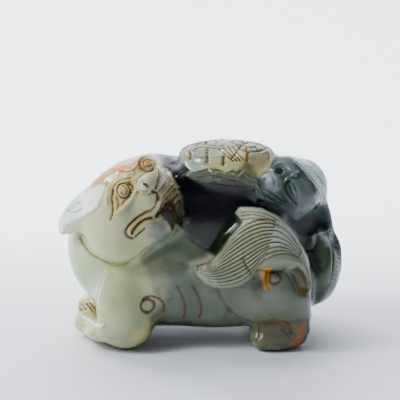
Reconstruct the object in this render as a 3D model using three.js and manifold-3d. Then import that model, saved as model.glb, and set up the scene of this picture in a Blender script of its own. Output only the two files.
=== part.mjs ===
/**
 * A recumbent lion with its cub and a ribboned ball, carved in the round from one jade pebble.
 *
 * The lion faces -X and turns its head back over its left shoulder, the -Y side, towards the cub
 * that climbs on its rump. The pebble is one solid, so every form below is a mass of one field:
 * masses are blended in, undercuts are cut out, and the field's zero surface is the carving.
 * Millimetres, +Z up, the origin on the table under the middle of the carving.
 */
import * as THREE from "three";
import Module from "manifold-3d";
import { mergeVertices } from "three/addons/utils/BufferGeometryUtils.js";

// Driving dimensions
const LATTICE = 0.6; // spacing of the points where the field is sampled
const TRIANGLES = 9400; // kept for the whole carving
const PEBBLE = { low: [-42, -27, -3], high: [43, 25, 59] }; // the space that is sampled

const v = (x, y, z) => new THREE.Vector3(x, y, z);
const WORLD = [v(1, 0, 0), v(0, 1, 0), v(0, 0, 1)];

// Shapes: each has at(x, y, z), its distance from a point, negative inside, and a box that holds it

function ball(centre, radii, axes = WORLD) {
  const [a, b, c] = axes;
  const [ra, rb, rc] = radii;
  const reach = v(1, 1, 1).multiplyScalar(Math.max(...radii));
  return {
    box: new THREE.Box3(centre.clone().sub(reach), centre.clone().add(reach)),
    at(x, y, z) {
      const dx = x - centre.x;
      const dy = y - centre.y;
      const dz = z - centre.z;
      const p = (dx * a.x + dy * a.y + dz * a.z) / ra;
      const q = (dx * b.x + dy * b.y + dz * b.z) / rb;
      const r = (dx * c.x + dy * c.y + dz * c.z) / rc;
      const near = Math.sqrt(p * p + q * q + r * r);
      const slope = Math.sqrt((p / ra) ** 2 + (q / rb) ** 2 + (r / rc) ** 2);
      return slope < 1e-9 ? -Math.min(ra, rb, rc) : (near * (near - 1)) / slope;
    },
  };
}

/** A block with round edges, along the axes. */
function block(centre, halves, round) {
  const reach = v(...halves);
  return {
    box: new THREE.Box3(centre.clone().sub(reach), centre.clone().add(reach)),
    at(x, y, z) {
      const dx = Math.abs(x - centre.x) - halves[0] + round;
      const dy = Math.abs(y - centre.y) - halves[1] + round;
      const dz = Math.abs(z - centre.z) - halves[2] + round;
      const outside = Math.hypot(Math.max(dx, 0), Math.max(dy, 0), Math.max(dz, 0));
      return outside + Math.min(Math.max(dx, dy, dz), 0) - round;
    },
  };
}

/** A flattened ball: two radii in plan, one up and one down, and squarer shoulders as power grows. */
function drum(centre, [rx, ry, up, down], power) {
  const low = centre.clone().sub(v(rx, ry, down));
  const high = centre.clone().add(v(rx, ry, up));
  return {
    box: new THREE.Box3(low, high),
    at(x, y, z) {
      const plan = Math.hypot((x - centre.x) / rx, (y - centre.y) / ry);
      const tall = z > centre.z ? (z - centre.z) / up : (centre.z - z) / down;
      return ((plan ** power + tall ** power) ** (1 / power) - 1) * Math.min(up, down);
    },
  };
}

/** A tube through points, with a radius at each. flat thins its section along the unit vector across. */
function limb(points, radii, { flat = 1, across = WORLD[1], steps = 6 } = {}) {
  const curve = new THREE.CatmullRomCurve3(points, false, "centripetal");
  const stretch = 1 / flat - 1;
  const count = (points.length - 1) * steps + 1;
  const at = new Float64Array(count * 4);
  const box = new THREE.Box3();
  for (let i = 0; i < count; i++) {
    const t = i / (count - 1);
    const place = t * (radii.length - 1);
    const low = Math.min(Math.floor(place), radii.length - 2);
    const radius = THREE.MathUtils.lerp(radii[low], radii[low + 1], place - low);
    const p = curve.getPoint(t);
    box.expandByPoint(p.clone().addScalar(radius));
    box.expandByPoint(p.clone().addScalar(-radius));
    p.addScaledVector(across, p.dot(across) * stretch);
    at.set([p.x, p.y, p.z, radius], i * 4);
  }
  return {
    box,
    at(x, y, z) {
      const s = (x * across.x + y * across.y + z * across.z) * stretch;
      const px = x + across.x * s;
      const py = y + across.y * s;
      const pz = z + across.z * s;
      let best = Infinity;
      for (let i = 0; i + 4 < at.length; i += 4) {
        const ex = at[i + 4] - at[i];
        const ey = at[i + 5] - at[i + 1];
        const ez = at[i + 6] - at[i + 2];
        const dx = px - at[i];
        const dy = py - at[i + 1];
        const dz = pz - at[i + 2];
        const along = (dx * ex + dy * ey + dz * ez) / (ex * ex + ey * ey + ez * ez + 1e-12);
        const h = Math.min(1, Math.max(0, along));
        const gap = Math.hypot(dx - h * ex, dy - h * ey, dz - h * ez);
        best = Math.min(best, gap - at[i + 3] - h * (at[i + 7] - at[i + 3]));
      }
      return best;
    },
  };
}

/** The stone: masses blended in and undercuts cut out, in the order in which they are carved. */
class Stone {
  steps = [];
  box = new THREE.Box3();

  add(shape, blend = 2) {
    this.steps.push({ shape, blend, sign: 1 });
    this.box.union(shape.box);
    return this;
  }

  cut(shape, blend = 0.6) {
    this.steps.push({ shape, blend, sign: -1 });
    return this;
  }

  at(x, y, z) {
    let depth = 50;
    for (const { shape, blend, sign } of this.steps) {
      const { min, max } = shape.box;
      const ox = Math.max(min.x - x, 0, x - max.x);
      const oy = Math.max(min.y - y, 0, y - max.y);
      const oz = Math.max(min.z - z, 0, z - max.z);
      const outside = Math.sqrt(ox * ox + oy * oy + oz * oz);
      if (outside > blend + sign * depth) continue;
      const a = sign * depth;
      const b = shape.at(x, y, z);
      const h = Math.max(blend - Math.abs(a - b), 0) / blend;
      depth = sign * (Math.min(a, b) - (h * h * blend) / 4);
    }
    return depth;
  }
}

/** Points slid onto the stone's surface, then lifted off it by rise. */
function seated(stone, points, rise = 0, turns = 6) {
  const STEP = 0.2;
  return points.map((point) => {
    const p = point.clone();
    for (let turn = 0; turn < turns; turn++) {
      const slope = WORLD.map((axis) => {
        const ahead = p.clone().addScaledVector(axis, STEP);
        const behind = p.clone().addScaledVector(axis, -STEP);
        return stone.at(ahead.x, ahead.y, ahead.z) - stone.at(behind.x, behind.y, behind.z);
      });
      p.addScaledVector(v(...slope).normalize(), rise - stone.at(p.x, p.y, p.z));
    }
    return p;
  });
}

// The lion's body

function carveBody(stone) {
  stone.add(block(v(1, 1, 25.3), [32, 16.3, 22.7], 14), 1); // barrel
  stone.add(ball(v(-20.8, 0.5, 25), [16.6, 16.5, 18]), 3); // chest
  stone.add(block(v(5, 0.3, 37.4), [22, 14.6, 10.9], 4.2), 3); // back, square at its edges
  stone.add(ball(v(-13, 3, 41.5), [11, 12, 8.8]), 4); // withers
  stone.add(limb([v(-21, 6, 30), v(-20.5, 4, 36.5), v(-19, -1, 41)], [12.5, 10.5, 9]), 3); // neck
  for (const side of [-1, 1]) stone.add(ball(v(4, side * 5, 17.5), [17, 13, 12.8]), 4); // belly
  stone.add(ball(v(-8.5, -6.5, 20.5), [16.5, 13.4, 15.6]), 1.2); // left shoulder
  stone.add(ball(v(-9, 9, 21), [15, 11.5, 15.8]), 3); // right shoulder
}

function carveForelegs(stone) {
  const near = [v(-18, -9, 24), v(-20.5, -12.4, 15), v(-20.5, -13.2, 7.6)];
  stone.add(limb(near, [8.6, 8.4, 8]), 1.5);
  const nearPaw = [v(-21, -12, 3.8), v(-27, -7.8, 2.8), v(-32.5, -3.2, 4)];
  stone.add(paw(nearPaw, [4.2, 2.9, 3.3], v(-0.5, -0.86, 0)), 1.2);
  const far = [v(-18, 10, 24), v(-20.5, 13, 15), v(-20.5, 13.8, 7.5)];
  stone.add(limb(far, [8.6, 8.2, 7.9]), 1.5);
  const farPaw = [v(-21, 13, 5), v(-27, 9, 4.6), v(-31.6, 5.6, 5.2)];
  stone.add(paw(farPaw, [5.6, 4.8, 4.1], v(0.5, -0.86, 0)), 1.2);
}

function carveHindLegs(stone) {
  for (const side of [-1, 1]) {
    const leg = new Stone();
    leg.add(ball(v(16, side * 9.4, 18), [12, 11, 12]));
    leg.add(ball(v(22, side * 9.2, 16), [9.7, 11.8, 14.5]), 4);
    stone.add(leg, side < 0 ? 0.8 : 1.6);
    const foot = [v(25.8, side * 13, 4.1), v(22, side * 15.2, 3.5), v(16.6, side * 14.8, 3.1)];
    stone.add(paw(foot, [4.5, 4, 3.3], v(0, 1, 0)), 0.8);
  }
}

/** A paw: a tube to its tip, and three toes there, spread along the unit vector spread. */
function paw(points, radii, spread) {
  const stone = new Stone();
  stone.add(limb(points, radii));
  const tip = points.at(-1);
  const ahead = tip.clone().sub(points.at(-2)).normalize();
  const size = radii.at(-1);
  for (const toe of [-1, 0, 1]) {
    const place = tip.clone().addScaledVector(spread, toe * size * 0.75);
    place.addScaledVector(ahead, (toe ? 0.1 : 0.36) * size).add(v(0, 0, -0.1 * size));
    stone.add(limb([place.clone().addScaledVector(ahead, -size), place], [size * 0.68, size * 0.64]), 0.3);
  }
  return stone;
}

/** Broad locks of the mane, down the far side of the neck. */
function carveMane(stone) {
  for (let i = 0; i < 6; i++) {
    const x = -28.5 + i * 4;
    const fall = [v(x, 7 + i * 0.5, 41 + i), v(x + 0.4, 12, 38 + i), v(x + 2.6, 16, 33 + i)];
    const lock = [...fall, v(x + 5.4, 18, 29 + i)];
    stone.add(limb(seated(stone, lock, -1), [0.9, 2.4, 2.2, 1]), 0.8);
  }
}

// The lion's head, in a frame of its own: forward through the nose, up, and across to the far eye
const ACROSS = v(6.8, 12, 4.2).normalize();
const FORWARD = v(0.7, -0.55, 0.44).projectOnPlane(ACROSS).normalize();
const UPWARD = new THREE.Vector3().crossVectors(FORWARD, ACROSS);
const HEAD_AXES = [FORWARD, UPWARD, ACROSS];
const HEAD = v(-20, -10, 41);

function inHead(forward, up, across) {
  const p = HEAD.clone().addScaledVector(FORWARD, forward);
  return p.addScaledVector(UPWARD, up).addScaledVector(ACROSS, across);
}

/** The same point on the other side of the face. */
function mirrored(p) {
  return p.clone().addScaledVector(ACROSS, -2 * p.clone().sub(HEAD).dot(ACROSS));
}

function headStone() {
  const stone = new Stone();
  stone.add(ball(inHead(0, 0, 0), [11.2, 10.2, 12], HEAD_AXES), 3); // skull
  stone.add(ball(inHead(-2, -5, -5.5), [10.2, 9.8, 9.4], HEAD_AXES), 4); // near cheek
  stone.add(ball(inHead(-2, -5, 5.5), [10, 9, 8.5], HEAD_AXES), 4); // far cheek
  stone.add(ball(inHead(7.4, -8.8, -0.5), [5.8, 5, 7.5], HEAD_AXES), 3); // chin
  stone.add(ball(inHead(9.7, -1.4, 0), [5.4, 4.4, 7.4], HEAD_AXES), 1.6); // upper lip
  const bridge = [inHead(6, 6.6, 0), inHead(9.6, 5, 0), inHead(11.6, 3.2, 0)];
  stone.add(limb(bridge, [3, 2.6, 3.2]), 1.4);
  stone.add(ball(inHead(11.8, 2.9, 0), [3.6, 3.2, 4.4], HEAD_AXES), 0.8); // nose
  const near = {
    ear: [v(-26, -14, 42.5), v(-31.5, -11.5, 38.6), v(-36, -9.3, 35), v(-38.2, -8, 32.1)],
    eye: [v(-20.7, -22.2, 47.3)],
    brow: [
      v(-17.6, -19.5, 51), v(-21, -21, 51), v(-23.8, -20.8, 49), v(-25, -21, 46), v(-24.7, -21.8, 43.1),
    ],
    lid: [v(-16.7, -21.2, 46.5), v(-19, -22.8, 44.7), v(-21.7, -22.5, 41.3)],
    lip: [
      v(-11.7, -21.7, 43.6), v(-12.5, -22.1, 42.3), v(-14.3, -22.1, 41.5), v(-17.5, -22.5, 39.1),
      v(-19.4, -23.2, 36.6),
    ],
    curl: [v(-12.6, -21, 40.6), v(-15.2, -22, 40), v(-17.2, -22.7, 37.6), v(-18, -23, 35.4)],
  };
  for (const side of [(p) => p, mirrored]) {
    const at = (name, rise) => seated(stone, near[name].map(side), rise);
    const [eye] = at("eye", 0);
    const out = eye.clone().sub(inHead(0, 0, 0)).normalize();
    stone.add(limb(at("brow", 0), [0.9, 1.3, 1.4, 1.2, 0.6]), 0.8);
    stone.add(limb(at("lid", 0), [0.7, 1.1, 0.6]), 0.8);
    stone.cut(ball(eye.clone().addScaledVector(out, 2), [3.3, 3.3, 3.3]), 0.7);
    stone.add(ball(eye.clone().addScaledVector(out, -0.9), [2.3, 2.3, 2.3]), 0.4);
    const wing = side(inHead(11.2, 2.1, -4.4));
    stone.add(ball(wing, [2.7, 2.3, 2.2], HEAD_AXES), 0.5);
    stone.cut(limb(at("lip", 0.2), [1, 1, 0.9, 0.9, 0.7]), 0.3);
    stone.cut(limb(at("curl", 0.1), [0.8, 0.9, 0.8, 0.6]), 0.3);
    const across = v(-0.655, -0.64, 0.41);
    const tilt = side(HEAD.clone().add(across)).sub(HEAD);
    stone.add(limb(near.ear.map(side), [6.6, 5.9, 4.4, 1.9], { flat: 0.38, across: tilt }), 1);
  }
  const mouth = [
    inHead(9.6, -6.4, -6.2), inHead(12.8, -5, -4), inHead(14.4, -3.8, 0), inHead(12.8, -5, 4),
    inHead(9.6, -6.4, 6.2),
  ];
  stone.cut(limb(mouth, [0.9, 1.6, 1.8, 1.6, 0.9], { flat: 0.6, across: UPWARD }), 0.4);
  return stone;
}

// The tail: locks that leave the rump, arch over the haunch and sweep forward to one point

function tailStone() {
  const stone = new Stone();
  const outer = [
    v(28.3, -12.5, 17.5), v(28.7, -14, 22), v(26.8, -16, 28), v(23.7, -17, 33.2), v(17.5, -17.3, 36.6),
    v(12.4, -18, 35.2), v(8, -19, 31.5), v(4, -20, 27.2), v(-0.9, -20.6, 25.2),
  ];
  const inner = [
    v(28.2, -13.5, 18.6), v(27.9, -16.5, 24), v(26.1, -18, 27.7), v(22.5, -19.4, 29.8),
    v(18.6, -20.4, 28.6), v(14.6, -20.6, 25.2), v(9.7, -20.4, 21.6), v(3.6, -20.2, 21),
    v(-0.9, -20.6, 24.9),
  ];
  const strand = (share) =>
    outer.map((p, n) => p.clone().lerp(inner[n], share).add(v(0, 2 - Math.sin(Math.PI * share), 0)));
  const deep = { flat: 1.9, across: WORLD[1] };
  for (const share of [0, 0.25, 0.5, 0.75, 1]) {
    stone.add(limb(strand(share), [1.2, 1.5, 1.8, 2, 2.2, 2.2, 2.1, 1.8, 0.8], deep), 1.4);
  }
  const grooves = [0.25, 0.5, 0.75].map((share) => {
    const above = strand(share).slice(1, 8).map((p) => p.add(v(0, -4.5, 0)));
    return seated(stone, above, 0.35);
  });
  for (const groove of grooves) stone.cut(limb(groove, [0.4, 0.9, 1.1, 1.2, 1.2, 1.1, 0.5]), 0.4);
  const stem = [
    v(29.3, -14, 17.5), v(28.4, -16.5, 22.6), v(26.6, -18, 25.6), v(23.4, -19, 27), v(20.1, -19.4, 26.6),
    v(17.3, -19.4, 24.8),
  ];
  stone.add(limb(stem, [1.5, 1.6, 1.6, 1.6, 1.5, 0.8], { flat: 1.6, across: WORLD[1] }), 0.4);
  const flick = [v(23.7, -16, 34.6), v(19.3, -16.4, 38.5), v(15, -16, 39.6), v(11.4, -15.4, 39.8)];
  stone.add(limb(flick, [1.4, 1.6, 1.3, 0.7], deep), 0.5);
  return stone;
}

// The ball and its ribbon, on the lion's back

function ballStone() {
  const stone = new Stone();
  stone.add(drum(v(7.35, -1, 51.9), [13.5, 10.8, 3.4, 5.2], 2.5));
  stone.add(ball(v(14, -4.5, 50.2), [6, 6, 4.4]), 2);
  stone.add(block(v(6.5, -2, 48), [11.5, 10.5, 2], 1.8), 0.5);
  return stone;
}

function ribbonStone() {
  const stone = new Stone();
  const band = [
    v(-5, -7, 49.6), v(-2, -11.2, 49), v(3, -12.6, 48.4), v(9, -12.8, 47.9), v(15.2, -12.8, 46.9),
  ];
  stone.add(limb(band, [1.2, 1.9, 2.1, 2.2, 1.4]), 0.6);
  stone.add(limb([v(0.5, -10.5, 49.8), v(3.2, -12, 49.4), v(5.8, -13.6, 48.4)], [1.2, 1.3, 0.8]), 0.3);
  stone.add(limb([v(8.6, -10.6, 49.8), v(11.6, -12.4, 49.4), v(15, -13, 48.2)], [1.3, 1.7, 1]), 0.3);
  return stone;
}

// The cub, climbing over the rump towards the ball

function cubStone() {
  const stone = new Stone();
  stone.add(ball(v(28.2, 1.5, 42), [7.7, 9, 8.2]), 1); // ruff
  stone.add(limb([v(28.5, 0.5, 39), v(31, 0.5, 33), v(31.6, 0.5, 27)], [6.2, 6.2, 6]), 1); // back
  stone.add(ball(v(32.6, 0.5, 18.6), [7.2, 9, 10.7]), 0.8); // rump
  for (const side of [-1, 1]) stone.add(ball(v(31.6, 0.5 + side * 5.4, 18), [5.4, 5.4, 9]), 1); // haunch
  const tail = [v(36.4, 0.5, 30.5), v(38.2, 0.5, 25), v(38.4, 0.5, 18.5), v(36.9, 0.5, 12.5)];
  stone.add(limb(tail, [1.2, 2, 2.1, 1]), 0.4);
  stone.add(ball(v(24.4, -3.4, 45.2), [7.4, 8.6, 6.8]), 0.5); // skull
  stone.add(ball(v(27, -5.6, 42.2), [6.4, 7.3, 6.2]), 2); // cheek
  stone.add(ball(v(19.6, -9.4, 45.9), [4.2, 4.4, 4]), 1); // muzzle
  stone.add(ball(v(19, 1.6, 47.2), [3.6, 4.4, 3.4]), 1); // far side of the muzzle
  const [eye] = seated(stone, [v(21.8, -12, 49.4)]);
  stone.cut(ball(eye.clone().add(v(-0.2, -0.9, 0.9)), [2.3, 2.3, 2.3]), 0.5);
  stone.add(ball(eye.clone().add(v(0, 0.6, -0.4)), [1.5, 1.5, 1.5]), 0.2);
  const brow = seated(stone, [v(19.4, -10.8, 50), v(22.4, -10.6, 51.4), v(24.6, -11.6, 50)]);
  stone.add(limb(brow, [0.7, 1, 0.8]), 0.4);
  const ear = seated(stone, [v(25, -11, 49.2), v(25.4, -13, 46), v(25.9, -13.4, 42.2)]);
  stone.add(limb(ear, [1.4, 1.9, 0.7]), 0.3);
  const nearArm = [v(27, -8.5, 37.5), v(22.8, -12, 40.6), v(18.4, -13.2, 43), v(14.6, -13.4, 45.2)];
  stone.add(limb(nearArm, [3.6, 3.2, 2.7, 1.9]), 0.6);
  const farArm = [v(27, 9.5, 37.5), v(22.8, 12.4, 40.8), v(18.4, 13, 44), v(13, 12, 46.8)];
  stone.add(limb(farArm, [3.6, 3.2, 2.7, 2.2]), 0.6);
  return stone;
}

function carving() {
  const stone = new Stone();
  carveBody(stone);
  carveForelegs(stone);
  carveHindLegs(stone);
  stone.add(cubStone(), 0.5);
  stone.add(tailStone(), 0.4);
  stone.add(ribbonStone(), 0.5);
  stone.add(ballStone(), 0.4);
  stone.add(headStone(), 0.7);
  carveMane(stone);
  return stone;
}

// From the field to a mesh

/** Where the carving is finest, more of the triangles are kept. */
const FINE = [
  { at: v(-15, -18, 44), reach: 12, times: 6 }, // the lion's face
  { at: v(22, -11, 47), reach: 8, times: 4 }, // the cub's face
  { at: v(10, -20, 28), reach: 14, times: 5 }, // tail
];

/** Each point of the raw mesh slid onto the field's zero surface, except where a crease throws it far. */
function refined({ points, faces }, stone) {
  for (let i = 0; i < points.length; i += 3) {
    const rough = v(...points.subarray(i, i + 3));
    const [fine] = seated(stone, [rough], 0, 1);
    if (fine.distanceTo(rough) < LATTICE / 5) points.set(fine.toArray(), i);
  }
  return { points, faces };
}

/** The field's values on a lattice. Blocks far from the surface only get their sign. */
function sample(stone) {
  const BLOCK = 4;
  const blocks = PEBBLE.low.map((low, axis) => Math.ceil((PEBBLE.high[axis] - low) / LATTICE / BLOCK));
  const size = blocks.map((n) => n * BLOCK + 1);
  const [nx, ny, nz] = size;
  const values = new Float32Array(nx * ny * nz);
  const place = (i, axis) => PEBBLE.low[axis] + i * LATTICE;
  const reach = BLOCK * LATTICE * Math.sqrt(3);
  for (let k = 0; k < nz; k += BLOCK) {
    for (let j = 0; j < ny; j += BLOCK) {
      for (let i = 0; i < nx; i += BLOCK) {
        const half = BLOCK / 2;
        const middle = stone.at(place(i + half, 0), place(j + half, 1), place(k + half, 2));
        for (let c = k; c < Math.min(k + BLOCK, nz); c++) {
          for (let b = j; b < Math.min(j + BLOCK, ny); b++) {
            for (let a = i; a < Math.min(i + BLOCK, nx); a++) {
              const far = Math.abs(middle) > reach;
              const value = far ? middle : stone.at(place(a, 0), place(b, 1), place(c, 2));
              values[a + nx * (b + ny * c)] = value;
            }
          }
        }
      }
    }
  }
  return { values, size };
}

/** Marching tetrahedra: each cell is six tetrahedra round its diagonal, so the surface always closes. */
function polygonize({ values, size }) {
  const [nx, ny, nz] = size;
  const stride = [1, nx, nx * ny];
  const PATHS = [[0, 1, 2], [1, 2, 0], [2, 0, 1], [1, 0, 2], [0, 2, 1], [2, 1, 0]];
  const ORDER = { // even orders of a tetrahedron's corners, by which corners lie inside
    1: [0, 1, 2, 3], 2: [1, 0, 3, 2], 4: [2, 0, 1, 3], 8: [3, 0, 2, 1],
    3: [0, 1, 2, 3], 5: [0, 2, 3, 1], 9: [0, 3, 1, 2], 6: [1, 2, 0, 3], 10: [1, 3, 2, 0], 12: [2, 3, 0, 1],
  };
  const points = [];
  const faces = [];
  const found = new Map();
  const crossing = (a, b) => {
    const key = a < b ? a * values.length + b : b * values.length + a;
    let index = found.get(key);
    if (index === undefined) {
      const t = THREE.MathUtils.clamp(values[a] / (values[a] - values[b]), 0.05, 0.95);
      const coordinates = [a, b].map((n) => [n % nx, Math.floor(n / nx) % ny, Math.floor(n / (nx * ny))]);
      index = points.length / 3;
      for (let axis = 0; axis < 3; axis++) {
        const place = THREE.MathUtils.lerp(coordinates[0][axis], coordinates[1][axis], t);
        points.push(PEBBLE.low[axis] + place * LATTICE);
      }
      found.set(key, index);
    }
    return index;
  };
  for (let k = 0; k < nz - 1; k++) {
    for (let j = 0; j < ny - 1; j++) {
      for (let i = 0; i < nx - 1; i++) {
        const corner = i + stride[1] * j + stride[2] * k;
        PATHS.forEach((path, n) => {
          const tetra = [corner];
          for (const axis of path) tetra.push(tetra.at(-1) + stride[axis]);
          if (n > 2) [tetra[2], tetra[3]] = [tetra[3], tetra[2]];
          let inside = 0;
          tetra.forEach((c, bit) => (inside |= values[c] < 0 ? 1 << bit : 0));
          if (inside === 0 || inside === 15) return;
          const flipped = !(inside in ORDER);
          const [a, b, c, d] = ORDER[flipped ? 15 - inside : inside].map((q) => tetra[q]);
          const single = [1, 2, 4, 8].includes(flipped ? 15 - inside : inside);
          const ring = single
            ? [crossing(a, b), crossing(a, c), crossing(a, d)]
            : [crossing(a, c), crossing(a, d), crossing(b, d), crossing(b, c)];
          if (flipped) ring.reverse();
          for (let r = 2; r < ring.length; r++) faces.push(ring[0], ring[r - 1], ring[r]);
        });
      }
    }
  }
  return { points: Float64Array.from(points), faces: Int32Array.from(faces) };
}

/** Edge collapse by quadric error, cheapest first, until target triangles are left. */
function simplify({ points, faces }, target) {
  const count = points.length / 3;
  const quadrics = new Float64Array(count * 10);
  const ring = Array.from({ length: count }, () => []);
  const version = new Int32Array(count);
  const alive = new Uint8Array(faces.length / 3).fill(1);
  const corner = (f, c) => faces[f * 3 + c];

  const normalOf = (f, moved = -1, x = 0, y = 0, z = 0) => {
    const p = [0, 1, 2].map((c) => {
      const n = corner(f, c);
      return n === moved ? [x, y, z] : [points[n * 3], points[n * 3 + 1], points[n * 3 + 2]];
    });
    const [ax, ay, az] = p[1].map((s, i) => s - p[0][i]);
    const [bx, by, bz] = p[2].map((s, i) => s - p[0][i]);
    return [ay * bz - az * by, az * bx - ax * bz, ax * by - ay * bx];
  };

  const EVEN = 1e-3; // a weak pull that keeps triangles even where the surface is flat
  const care = (p) => {
    const times = FINE.map((spot) => (spot.at.distanceTo(p) < spot.reach ? spot.times : 1));
    return Math.max(...times);
  };
  for (let f = 0; f < alive.length; f++) {
    const n = normalOf(f);
    const length = Math.hypot(...n) || 1e-12;
    const [a, b, c] = n.map((s) => s / length);
    const first = corner(f, 0) * 3;
    const d = -(a * points[first] + b * points[first + 1] + c * points[first + 2]);
    const w = (length / 2) * care(v(...points.subarray(first, first + 3)));
    for (let k = 0; k < 3; k++) {
      const q = corner(f, k);
      const [x, y, z] = points.subarray(q * 3, q * 3 + 3);
      const e = EVEN * w;
      [
        a * a * w + e, a * b * w, a * c * w, a * d * w - e * x, b * b * w + e, b * c * w, b * d * w - e * y,
        c * c * w + e, c * d * w - e * z, d * d * w + e * (x * x + y * y + z * z),
      ].forEach((value, i) => (quadrics[q * 10 + i] += value));
      ring[q].push(f);
    }
  }

  const heap = [];
  const lower = (i, j) => heap[i].cost < heap[j].cost;
  const swap = (i, j) => ([heap[i], heap[j]] = [heap[j], heap[i]]);
  const push = (item) => {
    let i = heap.push(item) - 1;
    while (i && lower(i, (i - 1) >> 1)) {
      swap(i, (i - 1) >> 1);
      i = (i - 1) >> 1;
    }
  };
  const pop = () => {
    swap(0, heap.length - 1);
    const top = heap.pop();
    let i = 0;
    for (;;) {
      let least = i;
      for (const child of [2 * i + 1, 2 * i + 2]) {
        if (child < heap.length && lower(child, least)) least = child;
      }
      if (least === i) return top;
      swap(i, least);
      i = least;
    }
  };

  const errorAt = (q, x, y, z) =>
    q[0] * x * x + 2 * q[1] * x * y + 2 * q[2] * x * z + 2 * q[3] * x + q[4] * y * y +
    2 * q[5] * y * z + 2 * q[6] * y + q[7] * z * z + 2 * q[8] * z + q[9];

  const matrix = new THREE.Matrix3();
  const offer = (a, b) => {
    const q = Array.from({ length: 10 }, (_, i) => quadrics[a * 10 + i] + quadrics[b * 10 + i]);
    matrix.set(q[0], q[1], q[2], q[1], q[4], q[5], q[2], q[5], q[7]);
    const best = v(-q[3], -q[6], -q[8]).applyMatrix3(matrix.invert());
    const ends = [a, b].map((n) => v(...points.subarray(n * 3, n * 3 + 3)));
    const middle = ends[0].clone().lerp(ends[1], 0.5);
    const reach = ends[0].distanceTo(ends[1]);
    const place = best.distanceTo(middle) < 2 * reach ? best : middle;
    const cost = errorAt(q, place.x, place.y, place.z);
    push({ cost, a, b, place, marks: version[a] + version[b] * 65536 });
  };

  const neighbours = (n) => {
    const set = new Set(ring[n].flatMap((f) => [corner(f, 0), corner(f, 1), corner(f, 2)]));
    set.delete(n);
    return set;
  };
  const turnsOver = (n, other, { x, y, z }) =>
    ring[n].some((f) => {
      if ([0, 1, 2].some((c) => corner(f, c) === other)) return false;
      const before = normalOf(f);
      const after = normalOf(f, n, x, y, z);
      const dot = before.reduce((sum, s, i) => sum + s * after[i], 0);
      return dot < 0.3 * Math.hypot(...before) * Math.hypot(...after) || Math.hypot(...after) < 1e-4;
    });

  for (let n = 0; n < count; n++) {
    for (const m of neighbours(n)) {
      if (m > n) offer(n, m);
    }
  }
  let left = alive.length;
  while (left > target && heap.length) {
    const { a, b, place, marks } = pop();
    if (marks !== version[a] + version[b] * 65536 || !ring[a].length || !ring[b].length) continue;
    const around = neighbours(a);
    if ([...neighbours(b)].filter((n) => around.has(n)).length !== 2) continue;
    if (turnsOver(a, b, place) || turnsOver(b, a, place)) continue;
    points.set(place.toArray(), a * 3);
    for (let i = 0; i < 10; i++) quadrics[a * 10 + i] += quadrics[b * 10 + i];
    for (const f of ring[b]) {
      if ([0, 1, 2].some((c) => corner(f, c) === a)) {
        alive[f] = 0;
        left--;
      } else {
        for (let c = 0; c < 3; c++) if (corner(f, c) === b) faces[f * 3 + c] = a;
        ring[a].push(f);
      }
    }
    ring[b] = [];
    ring[a] = ring[a].filter((f) => alive[f]);
    const touched = neighbours(a);
    for (const n of touched) ring[n] = ring[n].filter((f) => alive[f]);
    version[a]++;
    for (const n of touched) offer(a, n);
  }
  return { points, faces: faces.filter((_, i) => alive[Math.floor(i / 3)]) };
}

function geometryOf(points, faces) {
  const geometry = new THREE.BufferGeometry();
  geometry.setAttribute("position", new THREE.BufferAttribute(Float32Array.from(points), 3));
  geometry.setIndex(new THREE.BufferAttribute(Uint32Array.from(faces), 1));
  return geometry;
}

const wasm = await Module();
wasm.setup();

function solidOf(geometry) {
  const bare = geometry.clone();
  bare.deleteAttribute("normal");
  bare.deleteAttribute("uv");
  const merged = mergeVertices(bare, 1e-4);
  return new wasm.Manifold(
    new wasm.Mesh({
      numProp: 3,
      vertProperties: merged.attributes.position.array,
      triVerts: merged.index.array,
    }),
  );
}

/** The feet are ground flat on the table, and the origin is put under the middle of the carving. */
function stoodOnTable(solid) {
  const table = new THREE.BoxGeometry(120, 120, 20).translate(0, 0, -10);
  const ground = solid.subtract(solidOf(table)).getMesh();
  const geometry = geometryOf(ground.vertProperties, ground.triVerts);
  geometry.computeBoundingBox();
  const middle = geometry.boundingBox.getCenter(v(0, 0, 0));
  return geometry.translate(-middle.x, -middle.y, 0);
}

const stone = carving();
const surface = simplify(refined(polygonize(sample(stone)), stone), TRIANGLES);
const beast = new THREE.Mesh(
  stoodOnTable(solidOf(geometryOf(surface.points, surface.faces))),
  new THREE.MeshStandardMaterial({ color: 0x9aa595, roughness: 0.25, metalness: 0 }),
);
beast.name = "beast_carving";

const group = new THREE.Group();
group.add(beast);
export default group;
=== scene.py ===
# %% [markdown]
# # A lion, its cub and a ball, carved from one jade pebble
# The real thing is a pebble of polished jade, small enough for the hand. The carver kept the pebble's
# outline, turned the lion's head back, and cut the fine hair, eyes and spirals last.
# This lesson does the same: the solid stone comes in as a frame, a copy of it is given a fine skin,
# the small cuts are made in that skin, and the colours of the jade are laid in with nodes.

import math

import bpy
import numpy as np
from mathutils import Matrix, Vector, bvhtree, kdtree


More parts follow.
